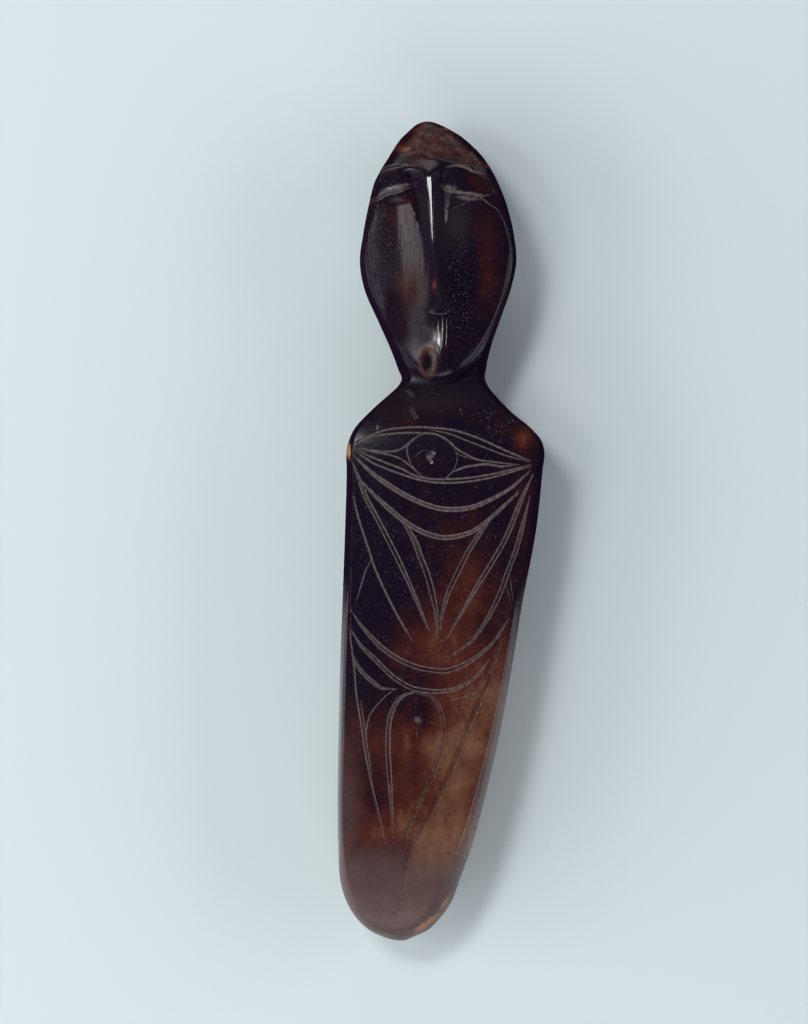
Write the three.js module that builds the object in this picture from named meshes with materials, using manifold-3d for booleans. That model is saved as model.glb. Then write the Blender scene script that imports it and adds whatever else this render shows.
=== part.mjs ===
// A small ancient figurine, carved from one piece of walrus ivory: a long head with a ridge of a nose,
// a short neck, and a flattened torso without arms that narrows to a round end. It lies on its back.
// Frame in millimetres: +Y from the round end to the crown, +X to the figure's own left side, and +Z up
// out of its chest. The origin is the middle of the underside of its box.
import * as THREE from "three";
import { mergeVertices } from "three/addons/utils/BufferGeometryUtils.js";
import Module from "manifold-3d";

// Driving sizes, in millimetres
const LENGTH = 172; // round end to crown
const REST_TRIM = 0.5; // taken off the fullest part of the back, which leaves the flat it lies on
const NOSE_WIDTH = 4.6; // across the foot of the ridge
const NOSE_RISE = 3; // of the ridge's lower end above the cheeks
const CHEEK_SCOOP = 1.2; // depth of the hollow beside the nose
const JAW_ROUNDING = 2.9; // width of the round-over along the jaw
const FACE_EDGE = 0.6; // the face stops this far inside the outline of the head
const MOUTH_WIDTH = 3.2;
const MOUTH_LENGTH = 6;
const MOUTH_DEPTH = 1.1;
const STROKE_DEPTH = 0.42; // of a line cut by the graver
const STROKE_STEP = 3.4; // between two sections of a line
const DOT_RADIUS = 0.9; // of the dots drilled in the chest and the belly
const DOT_DEPTH = 0.5;

// The form is given in thousandths of the length: "up" from the round end, "across" from the middle line,
// "front" and "back" from the plane of the widest outline.
const share = (thousandths) => (thousandths * LENGTH) / 1000;
const inShares = (millimetres) => (millimetres * 1000) / LENGTH;

// up, left edge, right edge, front of the torso, the neck and the skull behind the face, back
const STATIONS = [
  [0, -47, -47, 0, 0],
  [5, -71, -33, 17, 17],
  [13, -87, -16, 28, 28],
  [29, -104, 0, 39, 41],
  [50, -116, 14, 47, 50],
  [75, -123, 23, 53, 56],
  [111, -125, 36, 57, 60],
  [172, -126, 53, 60, 63],
  [245, -125, 70, 63, 64],
  [330, -123, 86, 64, 64],
  [416, -120, 100, 65, 64],
  [501, -117, 116, 65, 64],
  [574, -115, 124, 64, 63],
  [597, -115, 126, 62, 61],
  [611, -112, 122, 60, 59],
  [624, -106, 111, 57, 55],
  [645, -87, 86, 51, 49],
  [666, -64, 66, 44, 43],
  [676, -53, 58, 40, 41],
  [685, -48, 54, 38, 41],
  [697, -52, 55, 37, 43],
  [721, -61, 60, 37, 49],
  [757, -77, 72, 39, 58],
  [794, -93, 85, 42, 63],
  [828, -99, 92, 43, 64],
  [861, -95, 89, 43, 64],
  [898, -88, 80, 42, 60],
  [928, -80, 68, 39, 51],
  [952, -66, 54, 34, 42],
  [977, -50, 30, 26, 30],
  [990, -37, 12, 18, 20],
  [996, -28, -5, 11, 12],
  [1000, -17, -17, 0, 0],
];

// up, front of the face along its middle, without the nose
const FACE = [
  [660, 53],
  [680, 58],
  [697, 63],
  [714, 67],
  [735, 69],
  [763, 64],
  [794, 61],
  [828, 61],
  [880, 63],
  [912, 64],
  [930, 60],
  [952, 51],
  [977, 36],
  [990, 24],
  [996, 14],
  [1000, 0],
];

// up, width of the rounding between front and side on the left and on the right
const EDGES = [
  [0, 24, 30],
  [110, 14, 26],
  [250, 9, 18],
  [420, 8, 12],
  [600, 8, 11],
  [690, 14, 14],
  [860, 12, 12],
  [1000, 16, 20],
];

const BODY_CROWN = 0.1; // share of its height that the front loses from the middle to the side
const FACE_CROWN = 0.34;
const BACK_SQUARENESS = 2.6; // exponent of the back's section: 2 is an ellipse
const EDGE_SQUARENESS = 2.3;

// The jaw is the lower half of a rounded shield
const JAW = { middle: -3, top: 843, chin: 680, half: 95, lengthwise: 1.6, across: 1.95 };
const NOSE = { top: 932, bottom: 764, topAcross: -15, bottomAcross: -2.5, crest: 0.27 };
const BROW = { up: 914, fall: 0.12 }; // the hollows of the cheeks start under this line
const MOUTH = { across: -16, up: 705 };

// Every line cut by the graver: its width in millimetres and its way, across and up
const STROKES = [
  // brow, left, upper
  [0.7, [[-76, 934], [-67, 938], [-56, 942], [-44, 945], [-35, 943]]],
  // brow, left, lower
  [0.6, [[-82, 902], [-70, 906], [-55, 911], [-40, 916]]],
  // brow, right, upper
  [0.7, [[6, 941], [20, 941], [33, 940], [45, 936], [55, 930]]],
  // brow, right, lower
  [0.6, [[7, 912], [24, 909], [42, 907], [57, 905]]],
  // top arc
  [
    1.3,
    [
      [-104, 607], [-81, 616], [-56, 622], [-28, 623], [-1, 622], [21, 618], [45, 609], [70, 598],
      [93, 589], [107, 585],
    ],
  ],
  // eye and its right corner
  [
    0.65,
    [
      [-34, 610], [-28, 615], [-18, 618], [-7, 617], [2, 613], [12, 605], [21, 598], [33, 591],
      [48, 586], [66, 582], [94, 580],
    ],
  ],
  // left corner, upper
  [0.65, [[-103, 601], [-87, 598], [-68, 596], [-55, 597], [-45, 602], [-37, 609], [-29, 614]]],
  // left corner, lower
  [0.6, [[-101, 600], [-84, 596], [-66, 593], [-52, 587], [-42, 581], [-32, 573], [-21, 565]]],
  // right corner, lower
  [0.65, [[7, 565], [17, 573], [30, 578], [48, 581], [64, 579], [77, 578], [94, 581]]],
  // lower lid
  [
    1.2,
    [
      [-104, 599], [-90, 590], [-74, 582], [-56, 574], [-35, 566], [-13, 562], [11, 561],
      [35, 563], [60, 568], [84, 573], [107, 579],
    ],
  ],
  // collar, upper
  [
    1.3,
    [
      [-105, 590], [-87, 573], [-56, 551], [-38, 540], [-20, 532], [-1, 528], [17, 526], [38, 530],
      [60, 538], [84, 552], [105, 571],
    ],
  ],
  // collar, lower
  [
    1.15,
    [
      [-98, 562], [-81, 543], [-62, 526], [-38, 507], [-20, 498], [1, 492], [17, 494], [35, 499],
      [54, 511], [72, 527], [92, 546],
    ],
  ],
  // left ray, long
  [
    1.1,
    [
      [-106, 581], [-98, 556], [-84, 527], [-71, 500], [-54, 468], [-38, 439], [-27, 412],
      [-15, 380],
    ],
  ],
  // left ray, outer
  [0.7, [[-106, 542], [-101, 513], [-89, 477], [-74, 441], [-56, 404], [-35, 368]]],
  // left spur
  [0.55, [[-87, 462], [-93, 450], [-98, 434], [-103, 417]]],
  // left middle ray
  [1.1, [[-49, 511], [-35, 495], [-26, 476], [-17, 450], [-8, 416], [-4, 364]]],
  // right middle ray
  [1.1, [[56, 511], [42, 488], [27, 462], [12, 434], [2, 406], [-4, 377]]],
  // right ray, long
  [1.1, [[109, 565], [95, 535], [81, 500], [64, 465], [45, 433], [27, 401], [6, 371]]],
  // right ray, outer
  [0.9, [[105, 538], [94, 489], [79, 450], [66, 416], [48, 382], [30, 362], [10, 349]]],
  // right spur, upper
  [0.5, [[82, 448], [84, 432], [87, 416]]],
  // belt, upper
  [
    1.1,
    [
      [-109, 405], [-94, 384], [-74, 363], [-56, 349], [-35, 339], [-13, 333], [7, 332], [27, 338],
      [48, 351], [65, 371], [81, 393],
    ],
  ],
  // belt, lower
  [
    1.15,
    [
      [-110, 383], [-96, 361], [-78, 342], [-60, 325], [-40, 313], [-20, 308], [-1, 307],
      [17, 310], [38, 322], [57, 345],
    ],
  ],
  // left thigh
  [0.8, [[-111, 382], [-106, 345], [-100, 294], [-93, 247], [-86, 206], [-74, 147]]],
  // left curl
  [0.9, [[-107, 352], [-99, 334], [-84, 318], [-70, 310], [-55, 310]]],
  // left leaf
  [0.6, [[-56, 310], [-72, 297], [-84, 282], [-90, 262], [-90, 242]]],
  // loop
  [
    0.9,
    [
      [-46, 123], [-37, 150], [-23, 180], [-10, 209], [-2, 236], [-1, 267], [-6, 289], [-18, 302],
      [-33, 306], [-48, 302], [-59, 289], [-64, 269], [-65, 239], [-62, 202], [-60, 162],
    ],
  ],
  // right thigh
  [1.1, [[72, 367], [62, 333], [48, 295], [30, 255], [11, 211], [-11, 166], [-30, 125], [-46, 86]]],
  // right curl
  [0.7, [[61, 334], [52, 318], [40, 306], [26, 298], [11, 297]]],
];
const DOTS = [
  [-12, 589],
  [-28, 273],
];

// A smooth curve through the rows of a table. It runs in the angle whose cosine falls evenly along the
// figure, so that both ends close as round as a ball.
const angleOf = (up) => Math.acos(1 - Math.min(Math.max(up, 0), 1000) / 500);

function curveThrough(table, column) {
  const at = table.map((row) => angleOf(row[0]));
  const value = table.map((row) => row[column]);
  const last = at.length - 1;
  const slope = at.slice(1).map((angle, i) => (value[i + 1] - value[i]) / (angle - at[i]));
  const tangent = at.map((angle, i) => {
    if (i === 0) return slope[0];
    if (i === last) return slope[last - 1];
    const before = angle - at[i - 1];
    const after = at[i + 1] - angle;
    return (slope[i - 1] * after + slope[i] * before) / (before + after);
  });
  return (up) => {
    const angle = Math.min(Math.max(angleOf(up), at[0]), at[last]);
    const i = Math.min(at.findLastIndex((start) => start <= angle), last - 1);
    const span = at[i + 1] - at[i];
    const t = (angle - at[i]) / span;
    return (
      value[i] * (1 + 2 * t) * (1 - t) ** 2 +
      tangent[i] * span * t * (1 - t) ** 2 +
      value[i + 1] * t * t * (3 - 2 * t) +
      tangent[i + 1] * span * t * t * (t - 1)
    );
  };
}

const leftEdge = curveThrough(STATIONS, 1);
const rightEdge = curveThrough(STATIONS, 2);
const frontOf = curveThrough(STATIONS, 3);
const backOf = curveThrough(STATIONS, 4);
const faceOf = curveThrough(FACE, 1);
const leftRounding = curveThrough(EDGES, 1);
const rightRounding = curveThrough(EDGES, 2);

const clamp01 = (value) => Math.min(Math.max(value, 0), 1);
const smoothStep = (value) => clamp01(value) ** 2 * (3 - 2 * clamp01(value));
const smoothMax = (a, b, blend) => (a + b + Math.hypot(a - b, blend)) / 2;
const bell = (distance, width) => Math.exp(-((distance / width) ** 2));
const roundOver = (inside) =>
  (1 - (1 - clamp01(inside)) ** EDGE_SQUARENESS) ** (1 / EDGE_SQUARENESS);

// Where a point lies in its section: u is 0 on the middle line and 1 on the outline.
function placeInSection(across, up) {
  const left = leftEdge(up);
  const right = rightEdge(up);
  const half = (right - left) / 2;
  const fromMiddle = across - (left + right) / 2;
  const rounding = Math.min(half, fromMiddle < 0 ? leftRounding(up) : rightRounding(up));
  const inside = rounding > 0 ? (half - Math.abs(fromMiddle)) / rounding : 0;
  return { u: half > 0 ? fromMiddle / half : 0, inside };
}

// Distance in from the jaw line, negative outside it, from the shield's formula and its gradient.
function insideJaw(across, up) {
  const along = Math.max((JAW.top - up) / (JAW.top - JAW.chin), 0);
  const aside = Math.abs(across - JAW.middle) / JAW.half;
  const value = 1 - along ** JAW.lengthwise - aside ** JAW.across;
  const gradient = Math.hypot(
    (JAW.lengthwise * along ** (JAW.lengthwise - 1)) / (JAW.top - JAW.chin),
    (JAW.across * aside ** (JAW.across - 1)) / JAW.half,
  );
  return value / Math.max(gradient, 1e-4);
}

// The edge of the face on one side (-1 or 1) at a height: the jaw line, or just inside the outline.
function faceEdge(side, up) {
  const along = clamp01((JAW.top - up) / (JAW.top - JAW.chin));
  const jaw = JAW.half * (1 - along ** JAW.lengthwise) ** (1 / JAW.across) + side * JAW.middle;
  const half = (rightEdge(up) - leftEdge(up)) / 2;
  const outline = side * (side < 0 ? leftEdge(up) : rightEdge(up));
  return side * Math.min(jaw, outline - Math.min(inShares(FACE_EDGE), half / 8));
}

function noseLine(up) {
  const down = clamp01((NOSE.top - up) / (NOSE.top - NOSE.bottom));
  return NOSE.topAcross + (NOSE.bottomAcross - NOSE.topAcross) * down;
}

function noseRise(across, up) {
  const down = clamp01((NOSE.top - up) / (NOSE.top - NOSE.bottom));
  const aside = Math.abs(across - noseLine(up));
  const flank = smoothStep((1 - aside / inShares(NOSE_WIDTH / 2)) / (1 - NOSE.crest));
  const ends = smoothStep((NOSE.top - up) / 14) * smoothStep((up - NOSE.bottom + 5) / 5);
  const rise = inShares(NOSE_RISE) * (0.4 + 0.6 * down);
  const underBrow = smoothStep((BROW.up - BROW.fall * aside - up) / 14);
  const aboveMouth = smoothStep((up - 725) / 50);
  const scoop = inShares(CHEEK_SCOOP) * bell(aside - 31, 25) * underBrow * aboveMouth;
  return rise * flank * ends - scoop;
}

function mouthPit(across, up) {
  const away = Math.hypot(
    (across - MOUTH.across) / inShares(MOUTH_WIDTH / 2),
    (up - MOUTH.up) / inShares(MOUTH_LENGTH / 2),
  );
  return inShares(MOUTH_DEPTH) * smoothStep((1.15 - away) / 0.8);
}

// Height of the front surface over the plane of the outline.
function frontHeight(across, up) {
  const { u, inside } = placeInSection(across, up);
  const crown = u * u;
  const body = frontOf(up) * (1 - BODY_CROWN * crown) * roundOver(inside);
  if (up < JAW.chin - 10) return body;
  const jaw = insideJaw(across, up) / inShares(JAW_ROUNDING);
  const edge = jaw < 0 ? jaw * 2 : roundOver(jaw);
  const level = faceOf(up) * (1 - FACE_CROWN * crown) + noseRise(across, up) - mouthPit(across, up);
  return smoothMax(body, level * edge * roundOver(inside), 2.5 * clamp01(inside));
}

function backHeight(across, up) {
  const { u } = placeInSection(across, up);
  return backOf(up) * (1 - Math.min(Math.abs(u), 1) ** BACK_SQUARENESS) ** (1 / BACK_SQUARENESS);
}

// Rows of the skin along the figure, closer together where the head is carved
function rowsBetween(from, to, count) {
  const start = angleOf(from);
  const end = angleOf(to);
  return Array.from({ length: count }, (_, i) => {
    const angle = start + ((end - start) * i) / count;
    return 500 * (1 - Math.cos(angle));
  });
}

const ROWS = [
  ...rowsBetween(0, 540, 19).slice(1),
  ...rowsBetween(540, 672, 9),
  ...[0, 3, 7, 12, 19, 28, 39, 50, 62, 71].map((above) => JAW.chin - 4 + above),
  ...[-6, -1, 3, 9].map((above) => NOSE.bottom + above),
  ...rowsBetween(787, 894, 7),
  ...rowsBetween(894, 938, 7),
  ...rowsBetween(938, 1000, 9),
];

// Columns of the skin on each side: to the jaw line, over it, and on to the outline. The first ones keep
// to the nose on the head and spread out evenly on the torso.
const NOSE_COLUMNS = [0, 3.8, 8.5, 13.5, 22, 34];
const TORSO_COLUMNS = [0, 0.17, 0.34, 0.5, 0.66, 0.8];
const OVER_JAW = [17, 11.5, 7, 2.6];
const TO_OUTLINE = [0.3, 0.65, 0.9];
const BACK_COLUMNS = 9;

function columnsToward(side, up, middle) {
  const outline = side * ((side < 0 ? leftEdge(up) : rightEdge(up)) - middle);
  const onHead = smoothStep((up - (JAW.chin - 45)) / 45);
  const jaw = side * (faceEdge(side, up) - middle);
  const torsoReach = outline * 0.88;
  const reach = Math.max(torsoReach + (jaw - torsoReach) * onHead, Math.min(5, outline / 2));
  const squeeze = Math.min(1, reach / 62);
  const inner = NOSE_COLUMNS.map((offset, i) => {
    const onTorso = TORSO_COLUMNS[i] * reach * 0.9;
    return onTorso + (offset * squeeze - onTorso) * onHead;
  });
  const over = OVER_JAW.map((inset) => reach - inset * squeeze * (onHead * 0.85 + 0.15));
  const outer = TO_OUTLINE.map((part) => reach + (outline - reach) * part);
  return [...inner, ...over, ...outer].map((offset) => middle + side * offset);
}

function middleLine(up) {
  const onBody = (leftEdge(up) + rightEdge(up)) / 2;
  const away = smoothStep((NOSE.bottom - up) / 90) + smoothStep((up - NOSE.top) / 30);
  return noseLine(up) + (onBody - noseLine(up)) * away;
}

function ringOf(up) {
  const left = leftEdge(up);
  const right = rightEdge(up);
  const middle = middleLine(up);
  const toLeft = columnsToward(-1, up, middle).reverse();
  const toRight = columnsToward(1, up, middle).slice(1);
  const front = [...toLeft, ...toRight].map(
    (across) => new THREE.Vector3(across, up, frontHeight(across, up)),
  );
  const back = Array.from({ length: BACK_COLUMNS }, (_, i) => {
    const turn = (Math.PI * (i + 1)) / (BACK_COLUMNS + 1);
    const across = (left + right) / 2 + ((right - left) / 2) * Math.cos(turn);
    return new THREE.Vector3(across, up, -backHeight(across, up));
  });
  return [new THREE.Vector3(left, up, 0), ...front, new THREE.Vector3(right, up, 0), ...back];
}

// A closed skin through rings of equally many points, with a point at each end.
function skinOver(rings, start, end) {
  const count = rings[0].length;
  const points = [...rings.flat(), start, end];
  const faces = [];
  for (let i = 0; i < count; i++) {
    const next = (i + 1) % count;
    for (let row = 0; row < rings.length - 1; row++) {
      const a = row * count;
      const b = a + count;
      faces.push(a + i, a + next, b + next, a + i, b + next, b + i);
    }
    const last = (rings.length - 1) * count;
    faces.push(points.length - 2, next, i);
    faces.push(points.length - 1, last + i, last + next);
  }
  return new THREE.BufferGeometry().setFromPoints(points).setIndex(faces);
}

// The wedge that cuts one line: a V with its edge under the surface, its ends running out.
function strokeWedge(width, way) {
  const curve = new THREE.CatmullRomCurve3(
    way.map(([across, up]) => new THREE.Vector3(across, up, 0)),
    false,
    "centripetal",
  );
  const length = share(curve.getLength());
  const steps = Math.max(Math.round(length / STROKE_STEP), 3);
  const rings = Array.from({ length: steps + 1 }, (_, i) => {
    const at = curve.getPointAt(i / steps);
    const along = curve.getTangentAt(i / steps);
    const fromEnd = (Math.min(i, steps - i) / steps) * length;
    const full = 0.45 + 0.55 * smoothStep(fromEnd / 4);
    const depth = inShares(STROKE_DEPTH) * full;
    const reach = inShares(width / 2) * full * 2;
    const corner = (side) => {
      const across = at.x - side * along.y * reach;
      const up = at.y + side * along.x * reach;
      return new THREE.Vector3(across, up, frontHeight(across, up) + depth);
    };
    return [corner(-1), corner(1), new THREE.Vector3(at.x, at.y, frontHeight(at.x, at.y) - depth)];
  });
  return rings;
}

function wedgeGeometry(rings) {
  const points = rings.flat();
  const faces = [0, 1, 2];
  for (let row = 0; row < rings.length - 1; row++) {
    for (let i = 0; i < 3; i++) {
      const a = row * 3 + i;
      const next = row * 3 + ((i + 1) % 3);
      faces.push(a, a + 3, next + 3, a, next + 3, next);
    }
  }
  const last = points.length - 3;
  faces.push(last, last + 2, last + 1);
  return new THREE.BufferGeometry().setFromPoints(points).setIndex(faces);
}

function dotCutter([across, up]) {
  const dot = new THREE.ConeGeometry(DOT_RADIUS * 2, DOT_DEPTH * 2, 12);
  dot.rotateX(-Math.PI / 2);
  dot.translate(share(across), share(up), share(frontHeight(across, up)));
  return dot;
}

const wasm = await Module();
wasm.setup();

function solidOf(geometry) {
  const bare = geometry.clone();
  for (const name of Object.keys(bare.attributes)) {
    if (name !== "position") bare.deleteAttribute(name);
  }
  const merged = mergeVertices(bare, 1e-5);
  const mesh = new wasm.Mesh({
    numProp: 3,
    vertProperties: merged.attributes.position.array,
    triVerts: new Uint32Array(merged.index.array),
  });
  return new wasm.Manifold(mesh);
}

function geometryOf(solid) {
  const mesh = solid.getMesh();
  const geometry = new THREE.BufferGeometry();
  geometry.setAttribute("position", new THREE.BufferAttribute(mesh.vertProperties, 3));
  geometry.setIndex(new THREE.BufferAttribute(mesh.triVerts, 1));
  geometry.computeVertexNormals();
  return geometry;
}

const skin = skinOver(
  ROWS.map(ringOf),
  new THREE.Vector3(STATIONS[0][1], 0, 0),
  new THREE.Vector3(STATIONS[STATIONS.length - 1][1], 1000, 0),
);
skin.scale(share(1), share(1), share(1));

const wedges = STROKES.map(([width, way]) => {
  const wedge = wedgeGeometry(strokeWedge(width, way));
  return solidOf(wedge.scale(share(1), share(1), share(1)));
});
const dots = DOTS.map((dot) => solidOf(dotCutter(dot)));
const deepest = Math.max(...STATIONS.map((row) => share(row[4])));
const figure = solidOf(skin)
  .subtract(wasm.Manifold.union([...wedges, ...dots]))
  .trimByPlane([0, 0, 1], REST_TRIM - deepest)
  
  .asOriginal()
  .simplify(0.01);

const geometry = geometryOf(figure);
geometry.computeBoundingBox();
const middle = geometry.boundingBox.getCenter(new THREE.Vector3());
geometry.translate(-middle.x, -middle.y, -geometry.boundingBox.min.z);

const ivory = new THREE.MeshStandardMaterial({ color: 0x4a2c1c, roughness: 0.28, metalness: 0 });
const figurine = new THREE.Mesh(geometry, ivory);
figurine.name = "figurine";

const model = new THREE.Group();
model.add(figurine);
export default model;
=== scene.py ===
import math

import bpy
import numpy as np
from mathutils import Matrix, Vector
from mathutils.geometry import delaunay_2d_cdt


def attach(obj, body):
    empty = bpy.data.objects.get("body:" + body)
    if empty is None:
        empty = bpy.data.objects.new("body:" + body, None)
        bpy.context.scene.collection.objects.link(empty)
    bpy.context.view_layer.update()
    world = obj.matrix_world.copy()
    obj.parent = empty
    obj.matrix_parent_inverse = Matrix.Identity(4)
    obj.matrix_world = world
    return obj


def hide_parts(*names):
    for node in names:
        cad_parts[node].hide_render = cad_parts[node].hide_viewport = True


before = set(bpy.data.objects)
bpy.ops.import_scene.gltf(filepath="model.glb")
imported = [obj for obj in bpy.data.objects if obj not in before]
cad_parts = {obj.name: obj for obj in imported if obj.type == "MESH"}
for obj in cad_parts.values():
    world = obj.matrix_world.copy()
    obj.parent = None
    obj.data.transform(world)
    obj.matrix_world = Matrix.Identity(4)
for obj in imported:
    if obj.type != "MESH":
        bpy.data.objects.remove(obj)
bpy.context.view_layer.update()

# The blank: one piece of walrus ivory, whittled to a flat tapering torso, a short neck and a long
# pointed head. Its outline and its thickness front and back are given in thousandths of the length,
# "up" from the round end and "across" from the middle line, as in the part's own source.
LENGTH = 0.172  # metres
MM = 1 / (LENGTH * 1000) * 1000  # thousandths of the length in one millimetre

# up, left edge, right edge, front of torso, neck and skull, back
STATIONS = np.array(
    [
        (0, -47, -47, 0, 0),
        (5, -71, -33, 17, 17),
        (13, -87, -16, 28, 28),
        (29, -104, 0, 39, 41),
        (50, -116, 14, 47, 50),
        (75, -123, 23, 53, 56),
        (111, -125, 36, 57, 60),
        (172, -126, 53, 60, 63),
        (245, -125, 70, 63, 64),
        (330, -123, 86, 64, 64),
        (416, -120, 100, 65, 64),
        (501, -117, 116, 65, 64),
        (574, -115, 124, 64, 63),
        (597, -115, 126, 62, 61),
        (611, -112, 122, 60, 59),
        (624, -106, 111, 57, 55),
        (645, -87, 86, 51, 49),
        (666, -64, 66, 44, 43),
        (676, -53, 58, 40, 41),
        (685, -48, 54, 38, 41),
        (697, -52, 55, 37, 43),
        (721, -61, 60, 37, 49),
        (757, -77, 72, 39, 58),
        (794, -93, 85, 42, 63),
        (828, -99, 92, 43, 64),
        (861, -95, 89, 43, 64),
        (898, -88, 80, 42, 60),
        (928, -80, 68, 39, 51),
        (952, -66, 54, 34, 42),
        (977, -50, 30, 26, 30),
        (990, -37, 11, 18, 20),
        (996, -30, -1, 11, 12),
        (1000, -17, -17, 0, 0),
    ],
    float,
)
# up, width of the side facet on the left and on the right
FACETS = np.array(
    [
        (0, 24, 34),
        (60, 14, 30),
        (110, 9, 24),
        (250, 8, 17),
        (420, 8, 12),
        (580, 8, 10),
        (620, 7, 9),
        (690, 12, 12),
        (760, 10, 8),
        (860, 9, 8),
        (930, 13, 13),
        (1000, 14, 16),
    ],
    float,
)
FACET_BREAK = 0.62  # 1 would round the side smoothly into the front, less leaves an edge
SIDE_SQUARENESS = 2.3  # 2 is a circle, more is squarer
BACK_SQUARENESS = 2.6
REST_TRIM = 0.5 * MM  # taken off the back's fullest part, where the figurine lies
BODY_CROWN = 0.1  # fall of the front from its middle to its sides, as a share of its height
BODY_EDGE = 0.035  # how widely its edge is rounded, as such a share too
LINE_SAMPLES = 6001


def turn_of(up):
    """The angle from 0 to pi whose cosine falls evenly along the figure."""
    return np.arccos(1 - np.clip(up, 0, 1000) / 500)


def smooth_line(table, column):
    """A smooth function of up through one column of a table: a cubic between each two rows, with
    slopes weighted from both sides, run in the angle of turn_of so that both ends close round."""
    at, value = turn_of(table[:, 0]), table[:, column]
    step = np.diff(at)
    slope = np.diff(value) / step
    tangent = np.empty_like(value)
    tangent[0], tangent[-1] = slope[0], slope[-1]
    tangent[1:-1] = (slope[:-1] * step[1:] + slope[1:] * step[:-1]) / (step[:-1] + step[1:])
    fine = np.linspace(at[0], at[-1], LINE_SAMPLES)
    i = np.clip(np.searchsorted(at, fine, side="right") - 1, 0, len(step) - 1)
    t = (fine - at[i]) / step[i]
    curve = (
        value[i] * (1 + 2 * t) * (1 - t) ** 2
        + tangent[i] * step[i] * t * (1 - t) ** 2
        + value[i + 1] * t * t * (3 - 2 * t)
        + tangent[i + 1] * step[i] * t * t * (t - 1)
    )
    return lambda up: np.interp(turn_of(up), fine, curve)


left_edge, right_edge, body_front, body_back = (smooth_line(STATIONS, c) for c in (1, 2, 3, 4))
left_facet, right_facet = (smooth_line(FACETS, c) for c in (1, 2))
BACK_FLAT = STATIONS[:, 4].max() - REST_TRIM


def ease(value):
    """0 below 0, 1 above 1, and a smooth S between."""
    t = np.clip(value, 0, 1)
    return t * t * (3 - 2 * t)


def soft_min(a, b, width):
    """The smaller of two heights, rounded over a width where they cross."""
    return (a + b - np.hypot(a - b, width)) / 2


def soft_max(a, b, width):
    """The larger of two heights, rounded over a width where they cross."""
    return (a + b + np.hypot(a - b, width)) / 2


def side_rise(inside):
    """Height of the side facet as a share of the front's: the quarter of a rounded square, stretched
    so that it meets the front at a slope. inside is 0 on the outline and 1 where the facet ends."""
    reach = np.clip(inside * FACET_BREAK, 0, 1)
    quarter = (1 - (1 - reach) ** SIDE_SQUARENESS) ** (1 / SIDE_SQUARENESS)
    top = (1 - (1 - FACET_BREAK) ** SIDE_SQUARENESS) ** (1 / SIDE_SQUARENESS)
    return quarter / top


def in_section(across, up):
    """Where a point lies in its cross section: u is -1 and 1 on the outline, and inside counts facet
    widths in from it."""
    left, right = left_edge(up), right_edge(up)
    half = np.maximum((right - left) / 2, 1e-6)
    off = across - (left + right) / 2
    facet = np.minimum(np.where(off < 0, left_facet(up), right_facet(up)), half * 0.98)
    return off / half, np.maximum(half - np.abs(off), 0) / facet


def body_height(across, up):
    """The torso, the neck and the skull without the face: a low crown, cut down by the side facets."""
    u, inside = in_section(across, up)
    crown = 1 - BODY_CROWN * u * u
    front = body_front(up)
    return front * soft_min(crown, side_rise(inside), BODY_EDGE)


def back_height(across, up):
    """The back: a rounded square of a section, with its fullest part taken off flat."""
    u, _ = in_section(across, up)
    section = (1 - np.clip(np.abs(u), 0, 1) ** BACK_SQUARENESS) ** (1 / BACK_SQUARENESS)
    return np.minimum(body_back(up) * section, BACK_FLAT)


# The face: a mask of a few planes, carved so that it stands in front of the nape. It has a long ridge of
# a nose with a cut off lower end, hollow cheeks under a low brow, a jaw like a shield with a bevelled
# rim, and a small mouth.

# up, front of the face along its middle, without the nose
FACE = np.array(
    [
        (660, 53),
        (680, 60),
        (697, 64),
        (714, 65),
        (735, 64.6),
        (752, 64),
        (775, 63.2),
        (794, 62.4),
        (828, 61.5),
        (880, 63),
        (912, 64),
        (930, 60),
        (952, 51),
        (977, 36),
        (990, 24),
        (996, 14),
        (1000, 0),
    ],
    float,
)
FACE_CROWN = 0.24  # fall of the face from its middle to its sides, as a share of its height
# The jaw line: its middle, its widest level, the chin and half its width, and how square it is
JAW_MIDDLE, JAW_TOP, JAW_CHIN, JAW_HALF = -3, 843, 679, 95
JAW_LENGTHWISE, JAW_ACROSS = 1.6, 1.95
# Width of the rim's bevel at the cheeks and at the chin, how far up it changes, and where the face ends
JAW_BEVEL, CHIN_BEVEL, CHIN_BLEND, UNDER_CHIN = 2.6 * MM, 1.3 * MM, 55, 12
RIM_ROUNDING, SIDE_ROUNDING, FACE_BLEND = 0.09, 0.05, 1.6
FAR_BELOW = -50
# up, left foot of the nose, left and right edge of its crest, right foot, height of the crest
NOSE = np.array(
    [
        (750, -13.6, -4.9, 0.6, 10.4, 80.2),
        (763, -13.4, -4.9, 0.6, 10.1, 80),
        (780, -12.2, -4.9, 0, 8.5, 79.4),
        (804, -13.4, -6.7, -3, 5.7, 78.2),
        (843, -16.4, -10.8, -8.6, 4.6, 75.8),
        (874, -22, -13.4, -9.9, 1.4, 71.8),
        (892, -26, -14.6, -10.4, 1.2, 69.3),
        (916, -33, -17.4, -11, 0.5, 66),
        (931, -36, -19.5, -11.7, -0.6, 63.9),
        (950, -38, -20.5, -12.2, -1, 60.5),
    ],
    float,
)
# A span is a low end, the length over which it fades in, a high end and the length of that fade
NOSE_TIP = 763
NOSE_SPAN = (NOSE_TIP - 2, 9, 950, 24)
CREST_LEAN = 0.20  # fall of the crest to the left, as a slope
NOSE_EDGE, NOSE_FOOT = 0.035 * MM, 0.14 * MM  # how widely its edges and its feet are rounded
SHADE_FADE, CREST_SHADED, LOWEST_FLANK = 1.2, 858, -12
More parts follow.
